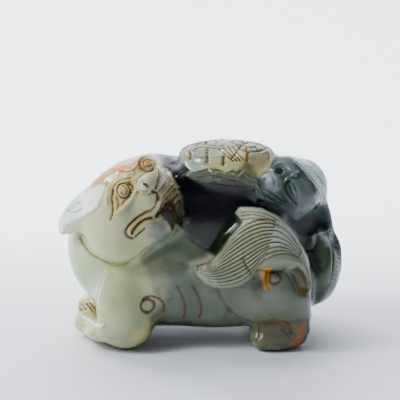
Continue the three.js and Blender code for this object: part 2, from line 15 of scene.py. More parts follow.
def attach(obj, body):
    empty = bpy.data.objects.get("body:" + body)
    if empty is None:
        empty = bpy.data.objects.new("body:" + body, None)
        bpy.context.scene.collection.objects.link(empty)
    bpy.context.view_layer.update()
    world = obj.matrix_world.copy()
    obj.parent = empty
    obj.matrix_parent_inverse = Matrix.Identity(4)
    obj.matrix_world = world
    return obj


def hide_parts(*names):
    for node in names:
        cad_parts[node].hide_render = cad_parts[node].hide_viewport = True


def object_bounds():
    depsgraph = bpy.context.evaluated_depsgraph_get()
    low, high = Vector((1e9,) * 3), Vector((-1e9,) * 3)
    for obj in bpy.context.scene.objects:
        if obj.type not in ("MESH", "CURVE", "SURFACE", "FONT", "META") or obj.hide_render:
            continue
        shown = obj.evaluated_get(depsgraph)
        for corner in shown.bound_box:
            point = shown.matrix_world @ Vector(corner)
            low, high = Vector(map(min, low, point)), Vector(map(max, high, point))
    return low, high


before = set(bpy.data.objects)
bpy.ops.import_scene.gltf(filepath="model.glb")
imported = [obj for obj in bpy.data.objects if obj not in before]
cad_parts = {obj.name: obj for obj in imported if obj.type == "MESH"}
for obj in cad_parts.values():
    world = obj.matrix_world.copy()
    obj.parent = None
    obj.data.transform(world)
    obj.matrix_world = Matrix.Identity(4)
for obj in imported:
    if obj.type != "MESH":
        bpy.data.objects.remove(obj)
cad_box = [list(corner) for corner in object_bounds()]
print("stone from", cad_box[0], "to", cad_box[1])

# %% [markdown]
# ## The camera comes first
# Every small cut is placed where the camera sees it in the photograph, so the camera has to stand
# where the photographer stood: level with the lion's flank, a little above it, with a long lens.
# One pixel is 0.28 mm on a plane through the point that the camera looks at.

# %% Place the camera
MM = 0.001
FRAME_PIXELS = 400
MIDDLE = FRAME_PIXELS / 2
PIXEL = 0.28 * MM
DISTANCE = 0.42
AIM = Vector((-0.44, 0.73, 38.6)) * MM
TILT = math.radians(15)
SENSOR_MM = 36
RIGHT = Vector((1, 0, 0))
LOOK = Vector((0, math.cos(TILT), -math.sin(TILT)))
UP = Vector((0, math.sin(TILT), math.cos(TILT)))
EYE = AIM - LOOK * DISTANCE

bpy.ops.object.select_all(action="DESELECT")
bpy.ops.object.camera_add(location=EYE, rotation=(math.pi / 2 - TILT, 0, 0))
camera = bpy.context.object
camera.name = "camera_at_the_flank"
camera.data.sensor_width = SENSOR_MM
camera.data.lens = SENSOR_MM * DISTANCE / (FRAME_PIXELS * PIXEL)
camera.data.clip_start = 0.01
bpy.context.scene.camera = camera
print("lens", round(camera.data.lens, 1), "mm")

# %% [markdown]
# ## A fine skin on the stone
# The frame's solid has broad facets. A copy of it is welded, rounded by a subdivision, and given a
# new skin of even small squares by a voxel remesh, which also closes every seam. Smoothing then
# takes off the last of the facets, as the carver's first polish does.

# %% Copy and remesh the stone
SKIN = 0.68 * MM
SAME_POINT = 0.001 * MM
RUB = 0.5
POLISH_PASSES = 5
SETTLING_PASSES = 2

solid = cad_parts["beast_carving"]
stone = solid.copy()
stone.data = solid.data.copy()
stone.name = "carved_stone"
stone.data.name = "carved_stone"
bpy.context.collection.objects.link(stone)
bpy.ops.object.select_all(action="DESELECT")
stone.select_set(True)
bpy.context.view_layer.objects.active = stone


def apply_modifier(kind, **settings):
    """Adds a modifier to the stone, sets it up and applies it."""
    modifier = stone.modifiers.new(kind.lower(), kind)
    for name, value in settings.items():
        setattr(modifier, name, value)
    bpy.ops.object.modifier_apply(modifier=modifier.name)


bpy.ops.object.mode_set(mode="EDIT")
bpy.ops.mesh.select_all(action="SELECT")
bpy.ops.mesh.remove_doubles(threshold=SAME_POINT)
bpy.ops.object.mode_set(mode="OBJECT")
apply_modifier("SUBSURF", levels=1, render_levels=1)
apply_modifier("REMESH", mode="VOXEL", voxel_size=SKIN, adaptivity=0)
apply_modifier("SMOOTH", factor=RUB, iterations=POLISH_PASSES)
print("skin of", len(stone.data.polygons), "squares")

# %% [markdown]
# ## Seeing the stone as the camera does
# Everything that is carved or coloured from here on is laid out as the camera sees it, in pixels of
# the photograph. These helpers say where the camera sees a point, where a ray through a pixel lands
# on the skin, and how far a pixel is from an outline. A drawing is a text with an x,y pair for each
# of its places. From behind, the camera is mirrored to the other flank, which the photograph
# doesn't show.

# %% The points of the skin


def points_of(mesh, which="co"):
    """Rows of x, y, z for the mesh's points: their places, or another value such as the normal."""
    flat = np.empty(len(mesh.vertices) * 3)
    mesh.vertices.foreach_get(which, flat)
    return flat.reshape(-1, 3)


def outward_of(mesh):
    """The direction straight out of the skin at each point."""
    return points_of(mesh, "normal")


def move_points(points):
    """Gives the stone's skin new places, kept within the CAD box."""
    lowest, highest = np.array(cad_box)
    stone.data.vertices.foreach_set("co", np.clip(points, lowest, highest).ravel())
    stone.data.update()


def keep_at_points(name, values):
    """Keeps one number at each point of the skin, for the material to read."""
    layer = stone.data.attributes.new(name, "FLOAT", "POINT")
    layer.data.foreach_set("value", values.astype(np.float32))


def search_tree(places):
    """A search tree of places."""
    found = kdtree.KDTree(len(places))
    for index, place in enumerate(places):
        found.insert(place, index)
    found.balance()
    return found


def tree_of(mesh):
    """A search tree of the mesh's faces, for rays and nearest points."""
    corners = [vertex.co for vertex in mesh.vertices]
    return bvhtree.BVHTree.FromPolygons(corners, [face.vertices for face in mesh.polygons])


skin = tree_of(stone.data)
print("skin with", len(points_of(stone.data)), "points")

# %% Smooth curves
FEWEST_STEPS = 2


def smooth_curve(places, step):
    """Points a step apart on a smooth curve through the places, in any number of axes."""
    places = np.array(places, float)
    if len(places) < 2:
        return places
    ends = [2 * places[0] - places[1]], [2 * places[-1] - places[-2]]
    padded = np.concatenate([ends[0], places, ends[1]])
    curve = []
    for i in range(len(places) - 1):
        a, b, c, d = padded[i : i + 4]
        count = max(FEWEST_STEPS, math.ceil(np.linalg.norm(c - b) / step))
        for t in np.arange(count) / count:
            pull = (c - a) * t + (2 * a - 5 * b + 4 * c - d) * t**2 + (3 * b - a - 3 * c + d) * t**3
            curve.append(b + pull / 2)
    return np.array(curve + [places[-1]])


print(len(smooth_curve([(0, 0), (1, 2), (2, 0)], 0.5)), "points on a curve through three places")

# %% What the camera sees


def seen(pixel, behind=False):
    """Where a ray through a pixel lands on the skin."""
    flip = Vector((1, -1 if behind else 1, 1))
    x, y = pixel
    toward = LOOK * DISTANCE + (RIGHT * (x - MIDDLE) - UP * (y - MIDDLE)) * PIXEL
    start = Vector((EYE.x, 2 * AIM.y - EYE.y if behind else EYE.y, EYE.z))
    return skin.ray_cast(start, toward * flip)[0]


def pixels_of(points, behind=False):
    """Where the camera sees each point, in the photograph's pixels."""
    points = points.copy()
    if behind:
        points[:, 1] = 2 * AIM.y - points[:, 1]
    from_eye = points - np.array(EYE)
    depth = from_eye @ np.array(LOOK)
    across = from_eye @ np.array(RIGHT) / depth
    down = -(from_eye @ np.array(UP)) / depth
    return np.stack([across, down], axis=1) * DISTANCE / PIXEL + MIDDLE


print("the camera looks at pixel", pixels_of(np.array([AIM]))[0])

# %% Outlines and ovals
TINY = 1e-9
RING_STEP_DEGREES = 20
FEWEST_RING_PLACES = 4


def distance_to(outline, pixels, farthest):
    """How far each pixel is from a closed outline, above zero inside it and never beyond farthest."""
    corners = np.array(outline, float)
    count = len(pixels)
    low, high = corners.min(axis=0) - farthest, corners.max(axis=0) + farthest
    close = np.flatnonzero(((pixels > low) & (pixels < high)).all(axis=1))
    pixels = pixels[close]
    nearest = np.full(len(pixels), float(farthest))
    inside = np.zeros(len(pixels), bool)
    for a, b in zip(corners, np.roll(corners, -1, axis=0)):
        edge = b - a
        along = np.clip(((pixels - a) @ edge) / (edge @ edge + TINY), 0, 1)
        gap = np.linalg.norm(pixels - a - along[:, None] * edge, axis=1)
        nearest = np.minimum(nearest, gap)
        crosses = (a[1] > pixels[:, 1]) != (b[1] > pixels[:, 1])
        rise = edge[1] if abs(edge[1]) > TINY else TINY
        inside ^= crosses & (pixels[:, 0] < a[0] + edge[0] * (pixels[:, 1] - a[1]) / rise)
    result = np.full(count, -float(farthest))
    result[close] = np.where(inside, nearest, -nearest)
    return result


def ring(x, y, width, height, start=0, end=360, turns_in=0):
    """Pixels of an oval, or of a spiral when turns_in shrinks it, from start to end in degrees."""
    count = max(FEWEST_RING_PLACES, int(abs(end - start) / RING_STEP_DEGREES))
    angles = np.radians(np.linspace(start, end, count))
    shrink = np.linspace(1, 1 - turns_in, len(angles))
    across = x + width * shrink * np.cos(angles)
    down = y + height * shrink * np.sin(angles)
    return list(zip(across, down))


def pixels_in(drawing):
    """The places of a drawing. A text of x,y pairs is read, and a list of places stays as it is."""
    if isinstance(drawing, str):
        return [tuple(float(number) for number in pair.split(",")) for pair in drawing.split()]
    return drawing


NEAR = (False,)
BOTH = (False, True)
TAIL = (
    "195,266 200,268 211,263 221,252 229,239 238,228 244,223 235,213 239,207 262,208 284,219 295,238 "
    "304,254 312,276 312,291 304,296 298,292 288,274 280,270 268,271 258,268 251,278 240,286 222,289 "
    "205,285 197,276"
)
STEM = (
    "257,269 267,259 279,254 292,254 302,261 309,270 313,284 311,291 308,281 304,271 296,266 286,267 "
    "280,270 269,271"
)
print(len(pixels_in(TAIL)), "places round the tail and", len(pixels_in(STEM)), "round its stem")

# %% [markdown]
# ## Larger forms
# Before any line is cut, the carver rounds the larger forms: the far eye stands up as a knob, the
# thigh swells over the flank, and the space under the cub is hollowed out so that it lies in shadow.
# A form is an outline, a height in millimetres that is below zero for a hollow, the width of its
# rounded edge, and how far into the stone it may reach. Its points move towards the camera or away.

# %% Name the forms
FORMS = [
    ("far eye", ring(147.4, 164.2, 8.4, 8), 0.9, 1.8, 12, NEAR),
    ("near eye", ring(123.4, 191.6, 7.4, 9), 0.5, 1.6, 6, NEAR),
    ("nose", "139,191 136,185 139,178 148,170 157,168 159,176 154,188 146,194", 0.6, 1.4, 8, NEAR),
    ("muzzle side", "136,196 152,196 156,206 146,212 134,214 128,206", 0.4, 2.0, 8, NEAR),
    ("upper lip", "158,167 164,165 171,173 178,185 183,200 178,206 170,203 160,204 155,197 157,186",
        0.45, 1.2, 9, NEAR),
    ("under the jaw", "138,253 144.5,247.6 152,242 160,238.6 167.4,235 173,227 178,221 185,226 185,238 "
        "175,248 162,256 148,264 140,263", -0.7, 2.6, 9, NEAR),
    ("hollow of the ear", "89,190 106,184 99,205 84,214 73,221 64,217 74,200", -0.45, 0.9, 8, NEAR),
    ("cub's head", "255,188 259,176 265,164 271,156 277,152 290,152 297,160 309,174 320,190 324,200 "
        "318,206 306,210 297,219 286,217 275,207 262,200", 0.7, 1.0, 10, NEAR),
    ("cub's muzzle", ring(269.6, 181, 8.6, 9), 0.7, 2.2, 8, NEAR),
    ("cub's cheek", "292,182 306,176 319,190 322,200 308,208 297,214 290,206", 0.35, 2.0, 8, NEAR),
    ("cub's eye hollow", ring(281, 170.6, 6.6, 5.6), -0.6, 1.0, 6, NEAR),
    ("under the cub", "256,199 264,203 276,208 285,217 297,220 310,211 321,206 328,213 331,227 320,231 "
        "312,237 311,262 303,250 292,231 281,219 264,211 254,206", -2.4, 1.2, 14, NEAR),
    ("beside the rump", "306,240 311,238 313,262 313,300 310,302 312,285 309,262", -1.2, 0.5, 12, NEAR),
    ("rump", "313,238 320,232 331,231 335,246 336,268 332,286 323,300 316,304 315,262", 0.5, 2.2, 14, NEAR),
    ("thigh", "219,289 222,300 228,310 236,318 246,322 258,324 309,322 316,308 311,291 300,292 292,280 "
        "288,272 268,271 258,268 251,278 238,287", 1.0, 1.2, 10, BOTH),
    ("undercut below the stem", "288,272 297,267 304,272 308.6,282 308,290 304,296 298,292 292,281",
        -1.7, 0.7, 8, NEAR),
    ("hip lobe", ring(274.6, 278.4, 6, 6.4), 0.5, 1.6, 6, BOTH),
    ("tail", TAIL, 0.35, 0.7, 9, NEAR),
    ("tip of the tail", "193,265 199,267.6 207,265 212,272 209,286 201,282 195,276 192.4,270",
        0.5, 0.7, 7, NEAR),
    ("dip along the tail", "243,221 237,229 229,239 220,251 211,262 203,262 203,253 214,242 226,229 "
        "236,219", -0.9, 0.9, 7, NEAR),
    ("stem", STEM, 0.45, 1.2, 7, NEAR),
]
print(len(FORMS), "forms")

# %% Fill the slopes
# Two brows, the back of the neck and the near forepaw fall away too soon, so their slopes are first
# filled towards the camera. Each has an outline, a pixel at the foot of its slope and the share of
# the slope that is filled.
FILLS = [
    ("far side of the forehead", "122,170 128,160 139,152 152,151 161,157 165,166 161,175 148,177 132,177",
        (147, 171), 0.8),
    ("cub's brow", "266,170 269,158 275,151 290,150 299,159 301,172 292,179 277,179", (282, 177), 0.5),
    ("back of the neck", "158,159 166,163 176,165 188,167 197,172 199,184 190,191 180,189 174,182 168,174",
        (187, 187), 0.6),
    ("near forepaw", "86,322 98,318 108,316 116,326 118,342 104,346 90,342 82,334", (114, 334), 0.75),
]
FILL_EDGE = 2.5
TURNING = 2.5
OUTLINE_STEP = 2
FARTHEST_PIXELS = 20


def facing(behind=False):
    """How far each point of the skin faces the camera, from 0 to 1."""
    flip = np.array([1, -1 if behind else 1, 1])
    return np.clip(0.5 - outward_of(stone.data) @ (np.array(LOOK) * flip) * TURNING, 0, 1)


def smooth_step(share):
    """A soft ramp from 0 to 1."""
    share = np.clip(share, 0, 1)
    return share * share * (3 - 2 * share)


def closed_curve(drawing):
    """A smooth curve round the places of a drawing and back to the first."""
    places = list(pixels_in(drawing))
    return smooth_curve(places + places[:1], OUTLINE_STEP)


def set_skin(points):
    """Moves the skin's points and lays even squares over the new form."""
    move_points(points)
    apply_modifier("REMESH", mode="VOXEL", voxel_size=SKIN, adaptivity=0)
    apply_modifier("SMOOTH", factor=RUB, iterations=SETTLING_PASSES)
    return tree_of(stone.data)


place = points_of(stone.data)
seen_at = pixels_of(place)
pull = np.zeros(len(place))
for name, outline, foot, share in FILLS:
    inside = distance_to(closed_curve(outline), seen_at, FARTHEST_PIXELS) * PIXEL / MM
    behind_foot = (place - np.array(seen(foot))) @ np.array(LOOK)
    pull += smooth_step(inside / FILL_EDGE) * facing() * np.clip(behind_foot, 0, None) * share
skin = set_skin(place - pull[:, None] * np.array(LOOK))
print("slopes filled by up to", round(pull.max() / MM, 1), "mm")

# %% Raise and hollow the forms
REACH_FADE = 2
place = points_of(stone.data)
move = np.zeros((len(place), 3))
for name, outline, height, edge, reach, sides in FORMS:
    rounded = closed_curve(outline)
    for behind in sides:
        flip = np.array([1, -1 if behind else 1, 1])
        inside = distance_to(rounded, pixels_of(place, behind), FARTHEST_PIXELS) * PIXEL / MM
        front = seen(tuple(np.mean(rounded, axis=0)), behind)
        depth = (place[:, 1] - front.y) * flip[1] / MM
        share = smooth_step(inside / edge) * np.clip((reach - depth) / REACH_FADE, 0, 1) * facing(behind)
        move -= share[:, None] * height * MM * np.array(LOOK) * flip
skin = set_skin(place + move)

# Places that are rubbed smooth: name, outline, strokes of the cloth, swelling in millimetres, sides
RUBBED_EDGE = 2
RUBBED = [
    ("back of the neck", "150,146 182,146 198,172 188,182 172,180 160,166", 12, 0.0, NEAR),
    ("heel", "301,309 315,306 317,332 311,338 300,334 297,322", 45, 1.0, BOTH),
]
for name, outline, strokes, swelling, sides in RUBBED:
    for behind in sides:
        place = points_of(stone.data)
        flip = -1 if behind else 1
        inside = distance_to(pixels_in(outline), pixels_of(place, behind), FARTHEST_PIXELS) * PIXEL / MM
        share = smooth_step(inside / RUBBED_EDGE) * ((AIM.y - place[:, 1]) * flip > 0)
        group = stone.vertex_groups.new(name=name)
        for index in np.flatnonzero(share):
            group.add([int(index)], float(share[index]), "REPLACE")
        apply_modifier("SMOOTH", factor=RUB, iterations=strokes, vertex_group=group.name)
        move_points(points_of(stone.data) + outward_of(stone.data) * (share * swelling * MM)[:, None])
skin = tree_of(stone.data)
print(len(FORMS), "forms;", len(stone.data.polygons), "squares")

# %% [markdown]
# ## Where the cuts go
# A carver draws each line on the stone before cutting it. Here a line is a short list of places as
# the camera sees them, in the photograph's pixels. A smooth curve is drawn through them, and each
# point of it is cast as a ray from the camera until it lands on the skin, so the line lies on the
# stone from every side. The same ray from the opposite side lands on the flank that nobody sees.

# %% Draw lines on the stone
STEP = 0.12 * MM
PIXEL_STEP = 0.3
JUMP = 1.5 * MM


def drawn(pixels, behind=False):
    """A line on the stone through pixels. It breaks off where it would jump from one form to another."""
    hits = [seen(pixel, behind) for pixel in smooth_curve(pixels, PIXEL_STEP)]
    line = [hits[0]] if hits[0] else []
    for hit in hits[1:]:
        if hit and (not line or (hit - line[-1]).length < JUMP):
            line.append(hit)
    return smooth_curve([tuple(p) for p in line], STEP) if len(line) > 1 else np.zeros((0, 3))


FLANK = "180,300 240,300"
print("a line along the flank has", len(drawn(pixels_in(FLANK))), "points")

# %% [markdown]
# ## The list of cuts
# Each group is one place on the carving. A cut has its pixels, its depth and half its width in
# millimetres, and how much brown polish has settled in it. A depth below zero raises a ridge, as
# round a lid or along the ribbon's edge.

# %% Name the cuts
cuts = []


def cut(name, drawing, depth, half, stain=0.0, sides=NEAR):
    """Draws one line and puts it on the list, on the near side, the far side or both."""
    for behind in sides:
        line = drawn(pixels_in(drawing), behind)
        if len(line):
            cuts.append({"name": name, "line": line, "depth": depth, "half": half, "stain": stain})


# %% [markdown]
# ## The head
# The lion has drop-shaped eyes under curling brows, a broad nose, strokes for its whiskers and
# nested hooks at the corner of its mouth. These lines could be pieces of their own, but the carver
# cuts them into the rounded head, so they are cuts here too.

# %% The near eye, its lids and the two long drops at its outer corner
cut("eyeball", ring(123.6, 190.6, 6.6, 7.6), 0.4, 0.45, 0.9)
cut("eye corner", "129,183 132.6,187 131,193", 0.5, 0.8, 0.8)
cut("eye white", "119.6,186.6 118.4,191 120.4,195", -0.2, 0.5)
cut("eye white", "123,186 127,189 126.6,194 123,195.6 121.4,192", 0.2, 0.4, 0.6)
cut("brow ridge", "134,174 124,176 115,180 109,187 106.6,195 107,205", -0.34, 0.6)
cut("brow furrow", "131,178 123,179.5 117,182 113.5,188 113,195", 0.32, 0.5, 0.7)
cut("outer drop", "113,190 112,198 113,206 112.5,213 110.5,220", 0.34, 0.45, 0.7)
cut("inner drop", "116.5,197 118.5,203 117.6,210", 0.4, 0.5, 0.6)
cut("lower lid", "136.5,191 132,198 126,205 118,212", -0.42, 0.55)
cut("under the lid", "131,196 126,200 121,206", 0.3, 0.6, 0.5)
cut("zigzag", "120,170 127,171 133,169.5 137,165", -0.34, 0.5)
cut("zigzag", "118,176 126,174 134,172.6 130,168.5 128,166", -0.3, 0.42)
print(len(cuts), "cuts round the near eye")

# %% The far eye, whose brow curls over the top of the head
cut("far eye", ring(147.6, 163.8, 8, 7.4, 90, 440), 0.5, 0.45, 0.55)
cut("far eye", ring(148, 163, 4.4, 3.8, 30, 320), 0.25, 0.36, 0.25)
cut("far lid", ring(147.6, 163.4, 9.6, 8.6, 150, 395), -0.25, 0.5)
print(len(cuts), "cuts with the far eye")

# %% The nose, its nostrils and the lines that part it from the lip
cut("nostril", "144,183.4 146,184.4 148.6,186.4", 0.85, 0.62, 1.0)
cut("second nostril", "153,191 155,192", 0.6, 0.55, 0.9)
cut("nostril wing", ring(144.6, 186.4, 6, 5.6, 60, 270), 0.35, 0.5, 0.45)
cut("nose outline", "138.6,193 136,187.6 137,181 141.6,175.6 148,171.4 154,169.6", 0.3, 0.55, 0.4)
cut("far side of the nose", "159,169 159,175 156.6,182", 0.4, 0.45, 0.8)
cut("under the nose", "137,192.6 143,194.4 149,194 154,189", 0.3, 0.5, 0.3)
print(len(cuts), "cuts with the nose")

# %% The upper lip, with strokes that fan from the nose
cut("whisker stroke", "162,168 161.4,175 158.6,182 155.6,188", 0.36, 0.42, 0.5)
cut("whisker stroke", "167.6,178.6 163.6,184.4 159,190.6", 0.36, 0.4, 0.4)
cut("whisker stroke", "173.6,184.6 167.6,191 162.4,197.6", 0.4, 0.42, 0.7)
cut("whisker stroke", "176,188.4 170.6,194.4 164.6,200.6", 0.5, 0.6, 1.0)
cut("whisker stroke", "178,194 173.6,199 169.6,204.6", 0.4, 0.42, 0.8)
cut("whisker stroke", "179.6,199.6 175,205 171.6,210", 0.3, 0.4, 0.7)
cut("whisker ridge", "166,179.6 162,185 157.6,190.8", -0.34, 0.4)
cut("whisker ridge", "172.4,183.8 166.6,190.8 161,198 158.6,206.6 155.8,214", -0.4, 0.4)
cut("whisker ridge", "176,192.6 168,202.8 162.8,211.6 157.8,219.4", -0.45, 0.4)
cut("whisker ridge", "169.8,206.6 165.4,212 162,217", -0.34, 0.36)
cut("mouth", "157,215.6 160,208.6 163.6,202.4", 0.9, 0.8, 1.0)
cut("mouth", "160.6,213.6 164,207.6", 0.5, 0.5, 1.0)
cut("lip edge", "158.4,170 157,177 153.6,186", -0.3, 0.5)
cut("lip corner", "156.4,192 159,196.6 158.6,200", 0.5, 0.6, 1.0)
cut("chin edge", "168,207 172.4,212 174.4,218 174,225", 0.4, 0.6, 0.9)
print(len(cuts), "cuts with the upper lip")

# %% The corner of the mouth, with nested hooks on the cheek
cut("outer hook", "157.6,195 156.4,203 153,209 145,212.6 136.6,218 129.6,224.6 125.8,231 128,236.4 "
    "133,238.4", 0.46, 0.55, 1.0)
cut("outer hook lip", "151,213 143.6,216.4 136,222 129.8,229 130.6,235", -0.3, 0.5)
cut("inner hook", "151.6,217.6 144.6,219.4 138,224 133.4,230 132,233.6", 0.5, 0.6, 1.0)
cut("lowest hook", "145,228 140,232.6 135.4,236.4", 0.34, 0.42, 0.8)
cut("jaw", "80,238 84,246 91,254.6 101,260.6 113,263.4 126,262.6 137,257 144.5,250.6 152,245 160,241.6 "
    "168,238.4 174.6,230", 0.6, 0.6, 0.55)
cut("cheek line", "118.6,212.6 125,206.6 131.6,200 136.6,192", -0.35, 0.5)
cut("throat fold", "103,262 110,265 119,265.4 128.6,263", 0.4, 0.55, 0.3)
cut("throat fold", "86,244 92,253 100,260", 0.25, 0.55, 0.1)
print(len(cuts), "cuts with the mouth and the jaw")

# %% The ear, a long leaf with a hollow and a crease under its root
cut("ear edge", "108.6,184 104,195 99,207 91,214 83,218 72,223 64,227", 0.35, 0.7, 0.1)
cut("ear edge", "106,183 101.6,194 96.6,205 88,211.6 80,215.6 70,220", -0.35, 0.7)
cut("ear hollow", ring(72.6, 207, 8.6, 5.4, -60, 300), 0.3, 0.45, 0.35)
cut("ear hollow", "67,211 73,207 79,202.4", 0.45, 1.3, 0.1)
cut("ear root", "79,237 84,233 87.6,230", 0.35, 0.5, 0.3)
cut("ear lower edge", "62,236 72,233 82,228", 0.16, 0.9, 0.0)
print(len(cuts), "cuts on the lion's head")

# %% [markdown]
# ## The tail and the flank
# The tail lies along the flank, combed into long hairs. Drawn one by one they would run into each
# other, so each is a blend of the tail's upper and lower edge, and they start at different places of
# the root, where there is little room. The spirals, ribs and curls are the same on both flanks.

# %% The hairs of the tail
TAIL_TOP = pixels_in("312.6,287 310,272 303,252 293,233 281.6,219.6 262,215.6 246,220.4 235,229 226.6,239 "
    "218,251 208,261 200,264 193.4,264")
STEM_TOP = pixels_in("310,288 308.6,276 302.4,261 291.6,254.6 278,254 267.4,259.4 258.6,268 251,278 "
    "240,286 222,289.6 206,285.6 197,278 192.6,269.6")
STRANDS = 14
SPARED_AT_THE_ROOT = (1, 17, 8, 17)
PLACES_ALONG = 40
HAIR_STRIDE = 3
top = smooth_curve(TAIL_TOP, OUTLINE_STEP)
low = smooth_curve(STEM_TOP, OUTLINE_STEP)
along = np.linspace(0, 1, PLACES_ALONG)


def share_of(curve):
    """The curve's points at even shares of its length."""
    reach = np.concatenate([[0], np.cumsum(np.linalg.norm(np.diff(curve, axis=0), axis=1))])
    return np.stack([np.interp(along * reach[-1], reach, curve[:, axis]) for axis in (0, 1)], axis=1)


top, low = share_of(top), share_of(low)
for strand in range(1, STRANDS):
    share = strand / STRANDS
    hair = (top * (1 - share) + low * share)[SPARED_AT_THE_ROOT[strand % len(SPARED_AT_THE_ROOT)] :]
    cut("tail hair", [tuple(place) for place in hair[::HAIR_STRIDE]], 0.5, 0.42, 0.5)
for offset in (0, 3.4, 6.8):
    flick = [(241.6, 213 + offset), (252, 211.6 + offset), (266, 214 + offset), (280, 221 + offset)]
    cut("tail flick", flick, 0.34, 0.4, 0.5)
cut("front lock", "243,258.6 246,265 250,272 254,278", 0.4, 0.5, 0.5)
print(len(cuts), "cuts with the tail's hair")

# %% Ribs, spirals and creases
cut("elbow spiral", ring(147.6, 305.6, 6.8, 7, -40, 330, 0.12), 0.45, 0.7, 1.0, sides=BOTH)
cut("elbow spiral", "143.4,299 147.6,297 153,296.8 159,299.4 163.4,304.6 163.8,310 162.4,313",
    0.42, 0.62, 1.0, sides=BOTH)
cut("elbow spiral", "158.8,315.4 156.4,318 153.4,320", 0.26, 0.36, 0.8, sides=BOTH)
cut("rib", "177.6,286 182,295 184.8,304 185.2,311 183.4,319", 0.4, 0.5, 0.9, sides=BOTH)
cut("rib", "192.4,285 197,293 200.4,302 201.4,311 198.8,318", 0.42, 0.52, 0.9, sides=BOTH)
cut("hip curl", ring(274.4, 278.6, 6.6, 7.2, -130, 210, 0.25), 0.42, 0.55, 0.6, sides=BOTH)
cut("hip curl", ring(275, 279.4, 4.2, 4.6, 30, 200, 0.3), 0.34, 0.45, 0.5, sides=BOTH)
cut("hip curl", "274,277 275,278", -0.3, 1.1, sides=BOTH)
cut("hip streak", "267.6,271 266,277 266.6,284 269,289", 0.3, 0.6, 0.6)
cut("stem", "262,266 270,263.4 282,260 294,261 302,267.6 307,280", -0.3, 1.2)
cut("stem edge", STEM_TOP[:8], 0.45, 0.5, 0.4)
cut("under the stem", "259,270 268,271.6 280,270.6 287,268", 0.5, 0.6, 0.3)
cut("haunch edge", "288,272.6 292,280 296.6,287 299,293", -0.2, 0.45)
cut("thigh crease", "217,289 222,300 229,310 238,318 250,323 258,324", 0.5, 0.8, 0.3, sides=BOTH)
cut("behind the foreleg", "160,290 162,304 158,316 153,323", 0.3, 1.5, 0.0, sides=BOTH)
cut("shoulder crease", "177,229 184,232.6 192,239 200,245 208,251 215,256", 0.2, 1.0, 0.0)
print(len(cuts), "cuts with the tail and the flank")

# %% [markdown]
# ## The paws
# The forepaws lie one behind the other, and the hind foot shows its pad. A few grooves between the
# toes are enough, as the solid has the paws' forms already.

# %% Toes and pads
cut("paw top", "77,311.6 83,316.6 89,319.6 95,324 100,326.6 103.6,325", -0.5, 0.6, sides=NEAR)
cut("between the paws", "79,309 86,313.6 93,317 99,321 104,323", 0.5, 0.7, 0.8)
cut("far paw toe", "86.6,303.6 91.6,309.4 97.4,314.6 103,319", 0.35, 0.45, 1.0)
cut("far paw toe", "84.6,308.6 90.6,313.4 97,318 102,321.4", 0.32, 0.45, 1.0)
cut("far paw toe", "90,303.4 95.6,308.6 101.6,314.6", 0.35, 0.45, 0.9)
cut("far paw toe", "79,302 83,306 85.6,311", 0.2, 0.4, 0.5)
cut("foreleg rim", "107,271 103.4,279 100,288 97.6,297 97.4,304 100,310.6 102.4,315", -0.4, 0.4)
cut("hind foot arc", "270,320.6 277,320.6 283,322 288,326 290.4,332", 0.4, 0.7, 0.9, sides=BOTH)
cut("hind toe", "257.6,324 260,330 258.6,338 255,343", 0.35, 0.6, 0.2, sides=BOTH)
cut("pad swirl", "281.6,330 286,332.4 289.4,336.6", 0.22, 0.36, 0.4, sides=BOTH)
cut("heel", "307.4,320 308,329 306.6,337.6", 0.2, 0.4, 0.5, sides=BOTH)
print(len(cuts), "cuts with the paws")

# %% [markdown]
# ## The ball and its ribbon
# The ball's top is covered with bands, wedges and a medallion, and a ribbon flutters round its foot.
# The pattern is an interlace on the real ball. Here its main seams and cells are cut, which keeps it
# readable at this size.

# %% Seams, bands and folds
cut("ball seam", "196,143 206,144.4 216,145.8 224,145.4", 0.3, 0.7, 0.9, sides=BOTH)
cut("ball seam", "206,141.6 206.4,144.4", 0.3, 0.5, 0.9, sides=BOTH)
cut("ball seam", "217,142 215.4,145.8", 0.3, 0.5, 0.9, sides=BOTH)
cut("ball seam", "232,142 236,144 242,145", 0.3, 0.7, 0.9, sides=BOTH)
cut("ball seam", "181.6,147 183,146 190,145 199,144.4", 0.31, 0.47, 0.8, sides=BOTH)
cut("ball seam", "182.4,147 180.4,152 180.4,158", 0.34, 0.49, 0.9, sides=BOTH)
cut("ball ring", "190.6,153.4 193.6,150.6 198,148 203,146.8 210,147.8 218,148.8 225,148.4",
    0.32, 0.5, 1.0, sides=BOTH)
cut("ball rim", "194,155 200,157 207,155.6 213,157 221,155.6", -0.22, 0.4, sides=BOTH)
cut("ball wedge", "190.4,151 190,159", 0.42, 0.65, 1.0, sides=BOTH)
cut("ball wedge", "207.4,149 207.4,162", 0.42, 0.65, 1.0, sides=BOTH)
cut("ball wedge", "224,157 223.6,164.6", 0.44, 0.85, 1.0, sides=BOTH)
cut("ball wedge", "248,152 247.4,160.6", 0.44, 0.78, 1.0, sides=BOTH)
cut("ball wedge", "196.4,144.6 198.6,147", 0.29, 0.44, 0.9, sides=BOTH)
for band in ("219,149 233.6,161", "224,147.6 237,161", "228.4,146.6 240.6,161", "233,146.4 244,160"):
    cut("ball band", band, 0.34, 0.44, 0.9, sides=BOTH)
cut("ball band", "221.6,149 235.4,161", -0.2, 0.36, sides=BOTH)
cut("ball band", "243,143 238,150 232,158", 0.29, 0.44, 0.9, sides=BOTH)
cut("medallion", ring(250.7, 144.8, 7, 2.2), 0.34, 0.75, 1.0, sides=BOTH)
cut("medallion", "236.4,144.6 239,147.6 243,150.2 250,151.4 258,151 265,148.8 269,146",
    0.36, 0.6, 1.0, sides=BOTH)
